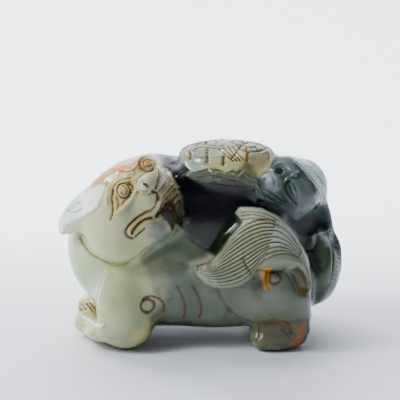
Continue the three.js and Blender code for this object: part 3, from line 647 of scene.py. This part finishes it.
for cell in ("242,145 238.6,147.4", "247,146.6 246,150.8", "255.6,146.4 258.6,150.6",
             "260,144.6 265,147.6", "244.6,143 240,142.4", "258,143 263.6,143.4"):
    cut("medallion cell", cell, 0.3, 0.5, 0.9, sides=BOTH)
cut("ball end", "269,147.6 272,151 273.4,155.6", 0.29, 0.47, 0.8, sides=BOTH)
cut("ball end", "265,150.4 268.6,154 269.4,160", 0.21, 0.47, 0.6, sides=BOTH)
cut("ball end", "258,153 262,153.6 267,151.4", -0.18, 0.4, sides=BOTH)
cut("ball foot", "178.6,158 184,164.6 191,170.6", 0.3, 0.5, 0.0)
cut("ribbon edge", "192.4,171.4 198,171.4 203,169.8 209,169 213.6,174 219,172.8 226,172.6 231,170.6 "
    "235,174.6 239,176.6 243.4,172.8 249.6,178 257,180.6", -0.32, 0.45, 0.0)
cut("ribbon fold", "215.6,169.6 223.6,171.6", 0.3, 0.4, 0.8)
cut("ribbon fold", "199,177.6 210,176 220.6,176 228,178.6 236,182", 0.34, 0.45, 0.4)
cut("ribbon fold", "204,174.6 210,174 215,177.6", 0.24, 0.4, 0.2)
cut("ribbon fold", "222,180 234,180.6 246,184", 0.3, 0.4, 0.3)
cut("ribbon hollow", "233,171.6 237,172.6 240,172", 0.6, 0.9, 0.0)
cut("ribbon lower edge", "188,176.4 198,179.4 210,182 224,183.8 239,185.4 257,188", -0.24, 0.45)
print(len(cuts), "cuts with the ball and the ribbon")

# %% [markdown]
# ## The cub
# The cub climbs over the rump with its head low and its mane brushed back. The strokes of its mane
# and its tail are even, so each row of them is a loop.

# %% Face, ears, mane and tail of the cub
cut("cub eye", ring(279.6, 170.8, 3, 2.6), 0.45, 0.6, 0.0)
cut("cub brow", "273.6,168 277,164.6 282,163 287,165.6 291.6,170 296,174", -0.34, 0.6)
cut("cub lid", "274.6,171 277.6,168 281,167.4 284.4,170", -0.3, 0.4)
cut("cub nose", "263,175 266.6,172.6 271,173.6 274,178 275,183", 0.4, 0.55)
cut("cub nostril", "265,178.6 266.6,179.6", 0.6, 0.6)
cut("cub mouth", "259.6,184.6 264,187.6 270,190.6 276,194.6 281,199", 0.55, 0.6)
cut("cub lip", "262,190.6 268,194.6 274,198.6", 0.3, 0.5)
cut("cub ear facet", "287.4,178.6 292.6,175.6 298.6,171.6", -0.45, 0.55)
cut("cub ear facet", "289.6,176 297.4,177.6 299,171", 0.35, 0.5)
cut("cub ear", "288.6,180.6 285.4,186 288,193 292,198 296.6,203", 0.55, 0.55)
cut("cub ear", "288.6,180.6 293.4,184 297,190.6 297.4,203", 0.45, 0.5)
cut("cub ear rim", "286.6,180.6 283.4,186.6 286,194 291,200.6", -0.35, 0.55)
cut("cub ear", "289.4,183.6 292,191 295.6,199", 0.5, 0.42)
cut("cub ear", "291.8,184.6 294.4,191 296.2,197", -0.3, 0.36)
cut("cub mane edge", "296,161.6 302,167 309,175 315,182 321,190 324.6,199", 0.5, 0.55)
cut("cub mane edge", "294,163 300,168.6 307,176.6 313,184 318.6,191.6 321.6,199", -0.4, 0.5)
cut("cub cheek", "299,180 306,186 312,194 315,203", -0.25, 1.0)
for k in range(9):
    x, y = 305 + 2.3 * k, 166.6 + 3.1 * k
    cut("cub mane stroke", [(x, y), (x + 4, y + 0.2), (x + 7, y + 1.6)], 0.3, 0.36)
cut("cub jaw", "270,204.6 279,208 286,214.6 291,219", 0.3, 0.6)
cut("cub claws", "256.4,187 259,190 261,195", 0.24, 0.34)
cut("cub claws", "259.6,187.4 262.4,190.6 264,195.4", 0.24, 0.34)
cut("cub claws", "263,190 265,193 266,197", 0.24, 0.34)
cut("cub forearm", "266,194 271,197.6 278,203", 0.26, 0.4)
cut("cub forearm", "269,193 274,197 280,202.6", 0.22, 0.36)
cut("cub hip", "329,230 333,229 336.6,226.6", 0.26, 0.4)
cut("cub rump edge", "310,236 318,233 326,231", -0.22, 0.45)
cut("cub tail edge", "326,233 331,245 333,260 331.6,276 326,290", 0.24, 0.6)
TAIL_BEND = 0.012
for k in range(12):
    y = 232 + 4.4 * k
    x = 341.5 - TAIL_BEND * (y - 258) ** 2 / 2
    cut("cub tail stroke", [(x - 5, y), (x - 2.4, y + 1.4), (x, y + 2.6)], 0.16, 0.3)
print(len(cuts), "cuts in all, of", len({entry["name"] for entry in cuts}), "kinds")

# %% [markdown]
# ## A finer skin where the cuts are
# A cut half a millimetre wide would fall between the squares of the skin. Only the squares near a
# cut are split, and twice close to the narrow cuts, so the stone stays light elsewhere.

# %% Split the skin near the cuts
NARROW = 0.5
REACH_OF_ALL = 0.85 * MM
REACH_OF_NARROW = 0.3 * MM
STRIDE = 4
NARROW_STRIDE = 2
RELAXING = 0.4
RELAXING_PASSES = 2


def split_near(places, reach):
    """Subdivides the faces whose middle is within reach of a place, then relaxes the whole skin."""
    near = search_tree(places)
    mesh = stone.data
    chosen = [near.find(face.center)[2] < reach for face in mesh.polygons]
    mesh.vertices.foreach_set("select", [False] * len(mesh.vertices))
    mesh.edges.foreach_set("select", [False] * len(mesh.edges))
    mesh.polygons.foreach_set("select", chosen)
    bpy.context.tool_settings.mesh_select_mode = (False, False, True)
    bpy.ops.object.mode_set(mode="EDIT")
    bpy.ops.mesh.subdivide(number_cuts=1, smoothness=0, ngon=False, quadcorner="INNERVERT")
    bpy.ops.object.mode_set(mode="OBJECT")
    apply_modifier("SMOOTH", factor=RELAXING, iterations=RELAXING_PASSES)
    triangles = sum(len(face.vertices) - 2 for face in mesh.polygons)
    print("split", sum(chosen), "faces;", triangles, "triangles")


all_lines = [entry["line"][::STRIDE] for entry in cuts]
split_near(np.concatenate(all_lines), REACH_OF_ALL)
narrow_lines = [entry["line"][::NARROW_STRIDE] for entry in cuts if entry["half"] < NARROW]
split_near(np.concatenate(narrow_lines), REACH_OF_NARROW)

# %% [markdown]
# ## Cutting
# Each point of the skin near a line moves along its own outward direction, deepest on the line and
# not at all at the cut's edge. Where two lines of one cut meet, the deeper one counts, so a corner
# isn't cut twice. One more number is kept at each point, as a painter keeps a mask: how much brown
# polish has settled there.

# %% Cut the lines
place = points_of(stone.data)
outward = outward_of(stone.data)
finder = search_tree(place)

move = np.zeros(len(place))
stain = np.zeros(len(place))
for entry in cuts:
    half = entry["half"] * MM
    share = {}
    for point in entry["line"]:
        for _, index, distance in finder.find_range(point, half):
            share[index] = min(share.get(index, half), distance)
    if not share:
        continue
    reached = np.fromiter(share.keys(), int)
    nearness = 1 - np.fromiter(share.values(), float) / half
    depth = nearness * nearness * (3 - 2 * nearness)
    move[reached] -= depth * entry["depth"] * MM
    stain[reached] = np.maximum(stain[reached], depth * entry["stain"])

DEEPEST = 1.2 * MM
HIGHEST = DEEPEST / 2
place += outward * np.clip(move, -DEEPEST, HIGHEST)[:, None]
place = np.clip(place, *np.array(cad_box))
move_points(place)

keep_at_points("stain", stain)
bpy.ops.object.shade_smooth()
print("deepest cut", round(-move.min() / MM, 2), "mm; highest ridge", round(move.max() / MM, 2), "mm")

# %% [markdown]
# ## Where each colour of the pebble lies
# Jade is one stone of many colours: pale celadon at the lion's head, grey-green along the flank,
# nearly black on the back, blue-grey at the cub, with orange and brown where iron has come in. The
# colours run through the stone in layers, and the carver cut the figure to suit them. So a colour is
# an outline in the camera's view that runs straight through the pebble, or only a little way in
# where it lies on the skin, as a stain or as painted light. A few outlines paint light instead of the
# stone's colour: painted highlights and sheen on the foreleg rim, the paw edge, the upper lip, the
# cub's muzzle, the back and the rump, and painted shade, partly over the stone's own colour, on the
# loin, under the jaw, in the undercut below the tail's stem, in the cub's eye and along the belly.
# At each point of the skin the distance to that outline is kept, in millimetres and above zero
# inside, and the material turns it into a soft and wavy edge.

# %% Outlines of the colours
FARTHEST = 6.0
BALL = (
    "178,148 184,142 206,139 235,138 260,140 273,146 277,154 271,165 259,177 252,176 243,170 208,168 "
    "192,172 180,160"
)
# name, colour, outline, depth that it reaches into the stone in mm or None for right through,
# softness in mm, waviness in mm, strength
ZONES = [
    ("body", "444f46", "160,243 176,222 180,190 166,168 154,150 180,128 300,130 345,180 355,260 330,330 "
        "320,355 140,355 154,325 158,290 162,270", None, 4.0, 3.0, 0.95),
    ("dark back", "0c1112", "176,168 200,172 262,172 320,190 336,220 318,236 312,262 290,230 250,208 "
        "238,226 180,228", None, 2.0, 1.0, 0.95),
    ("white ear", "e2ebec", "57,238 59,214 86,189 106,183 97,207 82,218 66,226", None, 0.5, 0.3, 0.9),
    ("chest", "9bb491", "66,240 100,258 104,275 97,300 80,290 64,262", None, 2.5, 2.0, 0.7),
    ("low cheek", "b2bb83", "84,240 110,236 150,240 145,252 128,262 108,264 92,256", None, 3.0, 2.0, 0.8),
    ("foreleg", "9fa87f", "106,270 98,300 104,325 110,339 131,348 150,341 154,325 152,312 162,290 158,270 "
        "130,264", None, 2.5, 2.5, 0.85),
    ("shoulder", "797c66", "140,256 144.5,249.4 152,243.6 162,240 178,250 182,270 170,290 160,300 148,280",
        None, 1.6, 1.5, 0.85),
    ("flank", "656e5e", "166,258 190,262 205,268 222,289 230,312 252,326 250,334 148,334 153,320 166,306 "
        "172,285", None, 2.5, 3.0, 0.92),
    # Under the jaw: partly the stone's colour, partly painted shade set to the shadow there.
    ("under the head", "7c8770", "146,249.4 152,243.6 160,240.4 167.4,237 174,228 178,222 200,244 214,256 "
        "205,266 188,264 168,258", None, 0.7, 0.4, 0.9),
    ("dark band", "0d1a06", "177,222 242,222 236,232 224,250 214,256 200,245 184,232",
        None, 0.8, 0.6, 0.97),
    ("haunch", "686f5f", "215,288 226,308 240,319 262,325 310,323 316,308 311,290 299,292 288,272 268,271 "
        "258,268 251,278 238,286", None, 1.2, 2.0, 0.95),
    ("loin shade", "45472f", "246,283 256,274 264,285 262,298 252,296", 6, 2.0, 2.0, 0.9),
    ("low thigh", "5e6445", "252,322 262,312 290,312 310,320 309,330 256,330", None, 2.5, 2.0, 0.8),
    ("hind foot", "63604a", "248,330 256,323 270,321 290,322 310,326 310,340 298,349 278,352 258,350 "
        "250,340", None, 2.2, 1.5, 0.9),
    ("black", "030407", "150,150 182,154 192,171 200,181 257,188 262,194 266,200 275,206 286,217 297,219 "
        "310,210 322,205 329,214 334,227 320,232 311,238 309,262 303,250 292,231 283,219 262,209 240,208 "
        "234,213 238,223.5 178,224.5 181,208 179,196 175,184 169,173 160,162", None, 0.35, 0.9, 1.0),
    ("sheen of the back", "3c474b", "152,150 166,151 181,153 184,160 178,163 168,160 158,161",
        None, 1.2, 2.5, 0.8),
    ("hollow under the cub", "040607", "262,203 275,207 286,218 297,220 310,211 322,205 331,201 337,226 "
        "322,232 312,237 309,250 300,238 290,226 278,216", None, 0.6, 0.6, 1.0),
    ("cub", "36433f", "254,180 262,165 270,156 276,150 290,150 297,160 309,175 320,190 325,201 318,206 "
        "305,210 297,219 286,217 275,207 266,200 256,193", None, 0.5, 0.8, 0.97),
    ("cub brow", "637177", "272,152 290,152 297,162 302,175 290,172 276,164", None, 1.5, 1.0, 0.6),
    # The near-black in the cub's eye hollow is painted shade.
    ("cub eye", "0b1214", ring(279.4, 170.6, 3.2, 2.6), 8, 0.4, 0.2, 0.9),
    ("cub back", "5c6f79", "322,204 327,200 334,212 342,229 336,231 329,231 327,219", None, 0.8, 0.5, 0.85),
    ("cub cheek", "707b7b", "296,180 310,180 322,196 318,206 304,210 294,214 292,204", 12, 2.0, 1.5, 0.8),
    ("teal neck", "14282c", "266,196 280,200 288,210 296,219 286,219 272,208", 10, 1.5, 1.0, 0.85),
    # The pale patch on the cub's muzzle is a painted highlight.
    ("muzzle", "a1afb6", "262,176 270,172 277,177 277,188 266,190", 8, 1.6, 1.0, 0.7),
    ("teal shoulder", "24393e", "311,211 321,206 328,211 327,219 318,217", 10, 0.9, 0.8, 0.85),
    ("mane", "afc2c4", "294,157 306,160 318,168 326,180 331,200 324,203 316,186 304,170",
        None, 0.6, 0.6, 0.9),
    ("amber tip", "9a844a", "316.6,196.6 320,197 323.4,202 321,205 318,202", 8, 0.4, 0.3, 0.85),
    ("rump", "455442", "310,237 320,232 330,237 335,250 335,268 331,284 323,298 312,308 310,262",
        None, 0.9, 1.5, 0.95),
    ("deep rump", "030702", "308,238 316,236 319,250 318,275 313,300 309,300 308,262", None, 1.5, 1.0, 0.9),
    # The pale blue-grey band on the rump is a painted sheen.
    ("pale rump", "b0bec2", "321,232.6 329,231.6 337,238 342,250 338,256 331,246 325,240",
        9, 1.2, 1.2, 0.8),
    ("low rump", "090801", "312,290 322,286 334,284 330,298 314,308", None, 1.6, 1.0, 0.7),
    ("cub tail", "0c1817", "324,231 334,228 344,246 348,265 345,286 338,297 325,306 322,299 332,284 "
        "336,267 335,250 330,238", None, 1.0, 1.0, 0.9),
    ("tail", "89967d", TAIL, 9, 0.25, 0.2, 0.97),
    ("grey tail", "a2aca5", "270,222 284,219 295,238 304,254 312,276 311,290 300,262 284,250 268,246",
        9, 2.0, 1.5, 0.8),
    ("pale tip", "b0c4ac", "199,267 206,268 214,275 218,285 207,282 199,275", 7, 0.8, 0.3, 0.7),
    ("stem", "798170", STEM, 7, 0.35, 0.2, 0.9),
    # Dark olive in the undercut below the stem: partly stone colour, partly painted shade.
    ("recess", "4f5231", "287,270 297,266 304,271 308,281 310,290 304,297 298,293 292,281",
        7, 0.4, 0.4, 0.9),
    ("brown in the recess", "7d6430", "298,284 303,285 306,292 304,298 299,294", 7, 0.8, 0.4, 0.85),
    ("ribbon", "585e53", "189,171 203,168 215,169 232,169 243,171 257,179 259,188 224,184 200,181 187,176",
        12, 0.4, 0.4, 0.92),
    ("ball", "798575", BALL, None, 0.25, 0.1, 1.0),
    ("tan under the ball", "5c5031", "203,162 225,156 245,155 270,157 266,167 256,178 243,172 215,170",
        None, 0.7, 0.8, 0.85),
    ("tan band", "c6ca93", "208,157 240,150 250,160 236,168 210,166", 9, 1.6, 1.6, 0.6),
    ("amber side of the ball", "b5aa81", "250,160 262,154 272,152 270,163 259,175 252,170",
        9, 1.4, 1.0, 0.7),
    ("cream forehead", "8b783e", "98,176 120,160 142,152 152,154 140,172 120,180 104,190",
        None, 2.0, 1.5, 0.75),
    ("orange brow", "b86e00", "112,173 117,165 130,157 141,155 135,164 124,170", 9, 0.8, 1.2, 1.0),
    ("orange temple", "c46c10", "84,192 96,178 108,170 104,178 94,187", 9, 1.0, 1.2, 0.85),
    ("eye stain", "c0b077", "107,186 117,178 133,175 137,186 129,199 118,212 111,221 108,205",
        7, 0.9, 0.8, 0.85),
    ("mouth corner stain", "d0bb83", "155,205 146,211 136,216 128.6,223 125.6,231 128,237 133,239 132,234 "
        "133,229 138,223.6 146,219 153,216 150,220 140,226 134,233 143,228", 8, 0.45, 0.3, 0.8),
    ("eyeball", "a89a6d", "118,184 124,183 128,188 126,194 120,195 117,190", 7, 0.6, 0.3, 0.7),
    ("eye corner", "b49351", "124,177 134,176 134,183 127,184", 7, 0.8, 0.6, 0.8),
    ("far eye stain", "816429", "138,158 146,153 156,157 158,166 150,173 141,171", 9, 0.8, 0.6, 0.85),
    ("lip", "948c68", "159,178 168,172 176,183 182,200 182,214 172,220 168,204 159,200 156,192",
        11, 0.8, 0.8, 0.9),
    # Near-white on the upper lip: partly pale stone, partly a painted highlight.
    ("pale lip", "efefdd", "158,166 165,166 170,174 164,184 159,188 158,178", 9, 0.9, 0.6, 0.8),
    ("nose", "b2b59d", "138,178 148,169 158,168 157,182 152,190 140,193 136,187", 8, 0.7, 0.5, 0.8),
    ("nostril", "ad740b", "142.6,182 147,183 149.6,187 146,187.4", 8, 0.25, 0.1, 0.95),
    ("second nostril", "5c3c1e", "152,189.6 155,190 155,193 152,193", 8, 0.3, 0.1, 0.9),
    ("rust lip", "333523", "177,197 182,199 183,214 180,224 177.6,216 176.6,205", 12, 0.5, 0.5, 0.9),
    ("dark chin", "080d0e", "160,209 166,201 173,199 177,210 178,222 172,231 167,223 162,217",
        11, 0.5, 0.4, 0.9),
    ("blue chin", "626a6a", "152,222 166,218 168,232 158,240 148,237", 9, 1.3, 0.8, 0.8),
    ("olive throat", "a2b465", "100,259 120,262 130,262 128,268 106,269", 8, 1.0, 0.6, 0.7),
    ("orange by the hip", "d49a1c", "258,267.6 262,270 265,267.4 271,267.6 272,271 268.6,274 268.4,278 "
        "267.6,283 268.6,289 265.4,289.6 263.4,284 261.6,277 259,272.4", 8, 0.6, 0.6, 0.9),
    ("rust heel", "b06a0e", "297,328 304,325 305.6,333 302,342 295,345 291,342 297,336", 9, 1.1, 0.9, 0.85),
    ("russet foot arc", "523806", "258,324 274,319 288,322 293,333 288,332 280,325 264,326",
        7, 0.8, 0.5, 0.7),
    # The white line along the foreleg's front rim is a painted highlight.
    ("bright rim", "e4ede2", "106.4,270 108,271 104.6,280 101.4,289 99,298 98.6,304 101,310 103.4,315 "
        "102,315.4 98.8,311 96.8,304 96.8,297 99.4,288 102.8,279", 6, 0.25, 0.1, 0.8),
    # The white band along the near paw's top is a painted highlight.
    ("bright paw edge", "f0f2e8", "77,310.6 84,314.6 90,318 96,322.6 101,325 104,324 101,328 95,326 "
        "88,321 82,317.6", 8, 0.5, 0.1, 0.9),
    ("olive elbow", "cec68a", "134,332 146,322 154,322 153,334 144,344 130,348", None, 1.5, 1.5, 0.75),
    # Near-black along the belly's lower edge: partly russet stone, partly painted shade.
    ("russet belly edge", "040301", "153,320 176,322 206,326 206,332 153,332", None, 1.0, 1.0, 0.7),
    ("far paw", "a3a472", "76,302 84,291 94,300 105,314 105,323 92,319 76,312", None, 0.8, 0.8, 0.7),
    ("brown far paw", "938748", "89,308 96,307 98.6,312 99,320 95,318", None, 0.5, 0.3, 0.85),
    ("cream far paw", "ccc78e", "81,294 86,292 89,300 82,301", None, 0.6, 0.5, 0.7),
    ("star on the flank", "5c5b2d", "186,218 188,220 190,218 189,222 191,224 187,223.4 184,225 185.6,221.6",
        4, 0.35, 0.3, 0.9),
    ("russet in the tail", "908a66", "250,226 270,222 284,226 270,230 252,240", 7, 2.0, 1.2, 0.4),
]

seen_at = pixels_of(place)
for name, _, outline, reach, *_ in ZONES:
    corners = pixels_in(outline)
    inside = distance_to(corners, seen_at, FARTHEST * MM / PIXEL) * PIXEL / MM
    if reach is not None:
        front = seen(tuple(np.mean(np.array(corners, float), axis=0)))
        inside = np.minimum(inside, reach - (place[:, 1] - front.y) / MM)
    keep_at_points("zone " + name, np.clip(inside, -FARTHEST, FARTHEST))
keep_at_points("far side", 1 - facing())
print(len(ZONES), "colours laid out")

# %% [markdown]
# ## The edge of a colour as a node group
# Every colour needs the same soft, wavy edge, so that is one node group with named inputs. It takes
# the distance that was kept at each point, pushes it about with a noise, and fades it to a mask.

# %% A patch as a node group
SHADE_FROM_HEX = 255


def tone(code):
    """A linear colour from a hex code, by the curve of sRGB."""
    parts = [int(code[i : i + 2], 16) / SHADE_FROM_HEX for i in (0, 2, 4)]
    return tuple(c / 12.92 if c < 0.04045 else ((c + 0.055) / 1.055) ** 2.4 for c in parts) + (1,)


def new_group(name, inputs, outputs):
    """A shader group with number sockets, and its input node and output node."""
    group = bpy.data.node_groups.new(name, "ShaderNodeTree")
    for title, value in inputs.items():
        socket = group.interface.new_socket(title, in_out="INPUT", socket_type="NodeSocketFloat")
        socket.default_value = value
    for title in outputs:
        group.interface.new_socket(title, in_out="OUTPUT", socket_type="NodeSocketFloat")
    return group, group.nodes.new("NodeGroupInput"), group.nodes.new("NodeGroupOutput")


def node(tree, kind, links=None, **settings):
    """A node with its settings, and each of its inputs given a plain value or joined to an output."""
    made = tree.nodes.new(kind)
    for name, value in settings.items():
        setattr(made, name, value)
    for name, value in (links or {}).items():
        if isinstance(value, bpy.types.NodeSocket):
            tree.links.new(value, made.inputs[name])
        else:
            made.inputs[name].default_value = value
    return made


def maths(tree, operation, *values, **settings):
    """A sum of plain values or outputs, as one node."""
    made = node(tree, "ShaderNodeMath", dict(enumerate(values)), operation=operation, **settings)
    return made.outputs[0]


edge_group, given, result = new_group(
    "wavy edge",
    {"Distance": 0.0, "Wave": 0.0, "Waviness": 1.0, "Softness": 1.0, "Far Side": 0.0, "Strength": 1.0},
    ["Mask"],
)
incoming = given.outputs
FAR_SOFTNESS = 2.2
pushed = maths(edge_group, "MULTIPLY_ADD", incoming["Wave"], incoming["Waviness"], incoming["Distance"])
half = maths(edge_group, "MULTIPLY_ADD", incoming["Far Side"], FAR_SOFTNESS, incoming["Softness"])
low_end = maths(edge_group, "SUBTRACT", 0.0, half)
fade = node(
    edge_group, "ShaderNodeMapRange",
    {"Value": pushed, "From Min": low_end, "From Max": half,
     "To Min": 0.0, "To Max": incoming["Strength"]},
    interpolation_type="SMOOTHSTEP",
)
edge_group.links.new(fade.outputs["Result"], result.inputs["Mask"])
print("group", edge_group.name, "with", len(edge_group.nodes), "nodes")

# %% [markdown]
# ## Laying in the colours
# The material starts from pale celadon and lays the colours over each other in the order of the
# list, as thin washes. One noise waves every edge, so that neighbouring colours follow each other.

# %% The washes, from the ground up
GROUND = tone("b3b58c")
NOISE_LOW = 0.3
NOISE_HIGH = 0.7

jade = bpy.data.materials.new("polished jade")
jade.use_nodes = True
tree = jade.node_tree
shader = tree.nodes["Principled BSDF"]
spot = node(tree, "ShaderNodeTexCoord").outputs["Object"]
spot = node(tree, "ShaderNodeVectorMath", {0: spot, "Scale": 1 / MM}, operation="SCALE").outputs[0]


def noise_between(low, high, scale, detail, roughness=0.5, highest_used=NOISE_HIGH):
    """A soft noise through the stone, spread out from low to high."""
    made = node(
        tree, "ShaderNodeTexNoise",
        {"Vector": spot, "Scale": scale, "Detail": detail, "Roughness": roughness},
    )
    spread = node(
        tree, "ShaderNodeMapRange",
        {"Value": made.outputs["Fac"], "From Min": NOISE_LOW, "From Max": highest_used,
         "To Min": low, "To Max": high},
    )
    return spread.outputs["Result"]


wave = noise_between(-1.0, 1.0, 0.22, 5.0, roughness=0.62)


def mix_colours(under, over, mask):
    """One colour over another. The mix node's colour sockets share their names, so they go by number."""
    made = tree.nodes.new("ShaderNodeMix")
    made.data_type = "RGBA"
    for number, value in ((0, mask), (6, under), (7, over)):
        if isinstance(value, bpy.types.NodeSocket):
            tree.links.new(value, made.inputs[number])
        else:
            made.inputs[number].default_value = value
    return made.outputs[2]


far_side = node(tree, "ShaderNodeAttribute", attribute_name="far side").outputs["Fac"]
colour = GROUND
masks = {}
for name, code, _, _, softness, waviness, strength in ZONES:
    distance = node(tree, "ShaderNodeAttribute", attribute_name="zone " + name).outputs["Fac"]
    edge = node(tree, "ShaderNodeGroup", node_tree=edge_group, label=name)
    tree.links.new(distance, edge.inputs["Distance"])
    tree.links.new(wave, edge.inputs["Wave"])
    tree.links.new(far_side, edge.inputs["Far Side"])
    masks[name] = edge.outputs["Mask"]
    for title, value in (("Waviness", waviness), ("Softness", softness), ("Strength", strength)):
        edge.inputs[title].default_value = value
    colour = mix_colours(colour, tone(code), edge.outputs["Mask"])
print(len(ZONES), "washes")

# %% [markdown]
# ## Clouds and the brown in the cuts
# Inside a wash the stone is still cloudy, so a soft noise lightens and darkens it. The cuts hold old
# brown polish, which the stain mask from the cutting step shows, and a finer noise makes it patchy.

# %% Clouds and stain
cloudy = noise_between(0.86, 1.1, 0.16, 5.0, roughness=0.55)
clouded = node(tree, "ShaderNodeVectorMath", {0: colour, "Scale": cloudy}, operation="SCALE")
stain_mask = node(tree, "ShaderNodeAttribute", attribute_name="stain").outputs["Fac"]
patchy = noise_between(0.7, 1.6, 1.6, 3.0, highest_used=0.62)
brown = maths(tree, "MULTIPLY", stain_mask, patchy, use_clamp=True)
OLD_POLISH = tone("62451f")
colour = mix_colours(clouded.outputs[0], OLD_POLISH, brown)
tree.links.new(colour, shader.inputs["Base Color"])
print("clouds and brown over", len(masks), "washes")

# %% [markdown]
# ## Polish and depth
# Polished jade is glossy, but the light also goes a little way in and comes out softened. The gloss
# is a low roughness, a little duller where the stone is black and much duller in the hollow under
# the cub, so that it doesn't mirror the pale floor. The depth is a subsurface of about two
# millimetres.

# %% Gloss and depth
DARK_IS_DULLER = 0.06
DULL_HOLLOW = 0.4
gloss = noise_between(0.13, 0.24, 0.35, 4.0)
duller = maths(tree, "MULTIPLY_ADD", masks["black"], DARK_IS_DULLER, gloss)
dullest = maths(tree, "MULTIPLY_ADD", masks["hollow under the cub"], DULL_HOLLOW, duller)
tree.links.new(dullest, shader.inputs["Roughness"])
fine = node(tree, "ShaderNodeTexNoise", {"Vector": spot, "Scale": 1.1, "Detail": 5.0, "Roughness": 0.6})
bump = node(
    tree, "ShaderNodeBump", {"Height": fine.outputs["Fac"], "Distance": 0.02 * MM, "Strength": 0.35}
)
tree.links.new(bump.outputs["Normal"], shader.inputs["Normal"])
shader.subsurface_method = "RANDOM_WALK"
for title, value in (
    ("IOR", 1.55),
    ("Subsurface Weight", 0.25),
    ("Subsurface Radius", (1.0, 1.1, 0.8)),
    ("Subsurface Scale", 2.0 * MM),
    ("Specular IOR Level", 0.34),
):
    shader.inputs[title].default_value = value

stone.data.materials.clear()
stone.data.materials.append(jade)
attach(stone, "root")
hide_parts("beast_carving")
print("jade with", len(tree.nodes), "nodes")

# %% [markdown]
# ## The table and the light
# The photograph has a seamless pale sheet, white behind the carving and greyer towards the viewer,
# as if lit through from behind. So the sheet itself glows a little, more and more towards the back,
# and its glow is dimmed where the polished stone mirrors it.
# A soft window stands at the upper left. A small bright window beside it and two small lights behind
# leave the glints on the polish. A wide panel above and behind lights the sheet and the crests, a
# weak light fills the right, and a bright sheet stands far behind.

# %% The pale table
MIRRORED_SHARE = 0.25

bpy.ops.object.select_all(action="DESELECT")
bpy.ops.mesh.primitive_plane_add(size=4, location=(0, 0, 0))
table = bpy.context.object
table.name = "pale_table"
paper = bpy.data.materials.new("pale paper")
paper.use_nodes = True
sheet = paper.node_tree.nodes["Principled BSDF"]
sheet.inputs["Base Color"].default_value = tone("d9deea")
sheet.inputs["Roughness"].default_value = 0.35
sheet.inputs["Specular IOR Level"].default_value = 0.3
where_on_table = node(paper.node_tree, "ShaderNodeTexCoord").outputs["Object"]
apart = node(paper.node_tree, "ShaderNodeSeparateXYZ", {"Vector": where_on_table})
glow = node(
    paper.node_tree, "ShaderNodeMapRange",
    {"Value": apart.outputs["Y"], "From Min": -0.005, "From Max": 0.13, "To Min": 0.0, "To Max": 2.3},
    interpolation_type="SMOOTHSTEP",
)
glossy_ray = node(paper.node_tree, "ShaderNodeLightPath").outputs["Is Glossy Ray"]
dimming = node(
    paper.node_tree, "ShaderNodeMapRange", {"Value": glossy_ray, "To Min": 1.0, "To Max": MIRRORED_SHARE}
)
strength = maths(paper.node_tree, "MULTIPLY", glow.outputs["Result"], dimming.outputs["Result"])
paper.node_tree.links.new(strength, sheet.inputs["Emission Strength"])
sheet.inputs["Emission Color"].default_value = tone("f1f5fc")
table.data.materials.append(paper)
print("table with", len(paper.node_tree.nodes), "nodes")

# %% The lights
STONE_MIDDLE = (0, 0, 0.03)

world = bpy.data.worlds.new("bright studio")
world.use_nodes = True
world.node_tree.nodes["Background"].inputs["Color"].default_value = tone("f3f6fa")
world.node_tree.nodes["Background"].inputs["Strength"].default_value = 0.06
bpy.context.scene.world = world


def soft_light(name, place, aim, size, watts, mirrored=True):
    """A square soft light turned to aim. One that isn't mirrored leaves no patch in the polish."""
    bpy.ops.object.light_add(type="AREA", location=place)
    light = bpy.context.object
    light.name = name
    light.data.size = size
    light.data.energy = watts
    light.visible_glossy = mirrored
    light.rotation_euler = (Vector(aim) - Vector(place)).to_track_quat("-Z", "Y").to_euler()


soft_light("window_upper_left", (-0.5, -0.12, 0.42), STONE_MIDDLE, 0.45, 4.2, mirrored=False)
soft_light("small_bright_window", (-0.42, -0.14, 0.46), STONE_MIDDLE, 0.09, 2.4)
soft_light("glint_behind_left", (-0.34, 0.26, 0.36), STONE_MIDDLE, 0.1, 1.3)
soft_light("glint_high", (-0.16, 0.1, 0.6), STONE_MIDDLE, 0.1, 0.7)
soft_light("sky_panel_behind", (-0.1, 0.62, 0.8), (0, 0.05, 0), 1.0, 19, mirrored=False)
soft_light("weak_fill_right", (0.5, -0.2, 0.35), STONE_MIDDLE, 0.5, 0.3)
print(len(bpy.data.lights), "lights")

# %% The bright sheet behind
bpy.ops.object.select_all(action="DESELECT")
bpy.ops.mesh.primitive_plane_add(size=1, location=(0, 1.3, 0.45), rotation=(math.pi / 2, 0, 0))
sheet_behind = bpy.context.object
sheet_behind.name = "bright_sheet_behind"
sheet_behind.scale = (4, 0.9, 1)
glowing = bpy.data.materials.new("bright sheet")
glowing.use_nodes = True
lit = glowing.node_tree.nodes["Principled BSDF"]
lit.inputs["Emission Color"].default_value = tone("f1f5fc")
lit.inputs["Emission Strength"].default_value = 0.8
sheet_behind.data.materials.append(glowing)
print("bright sheet", tuple(sheet_behind.scale))
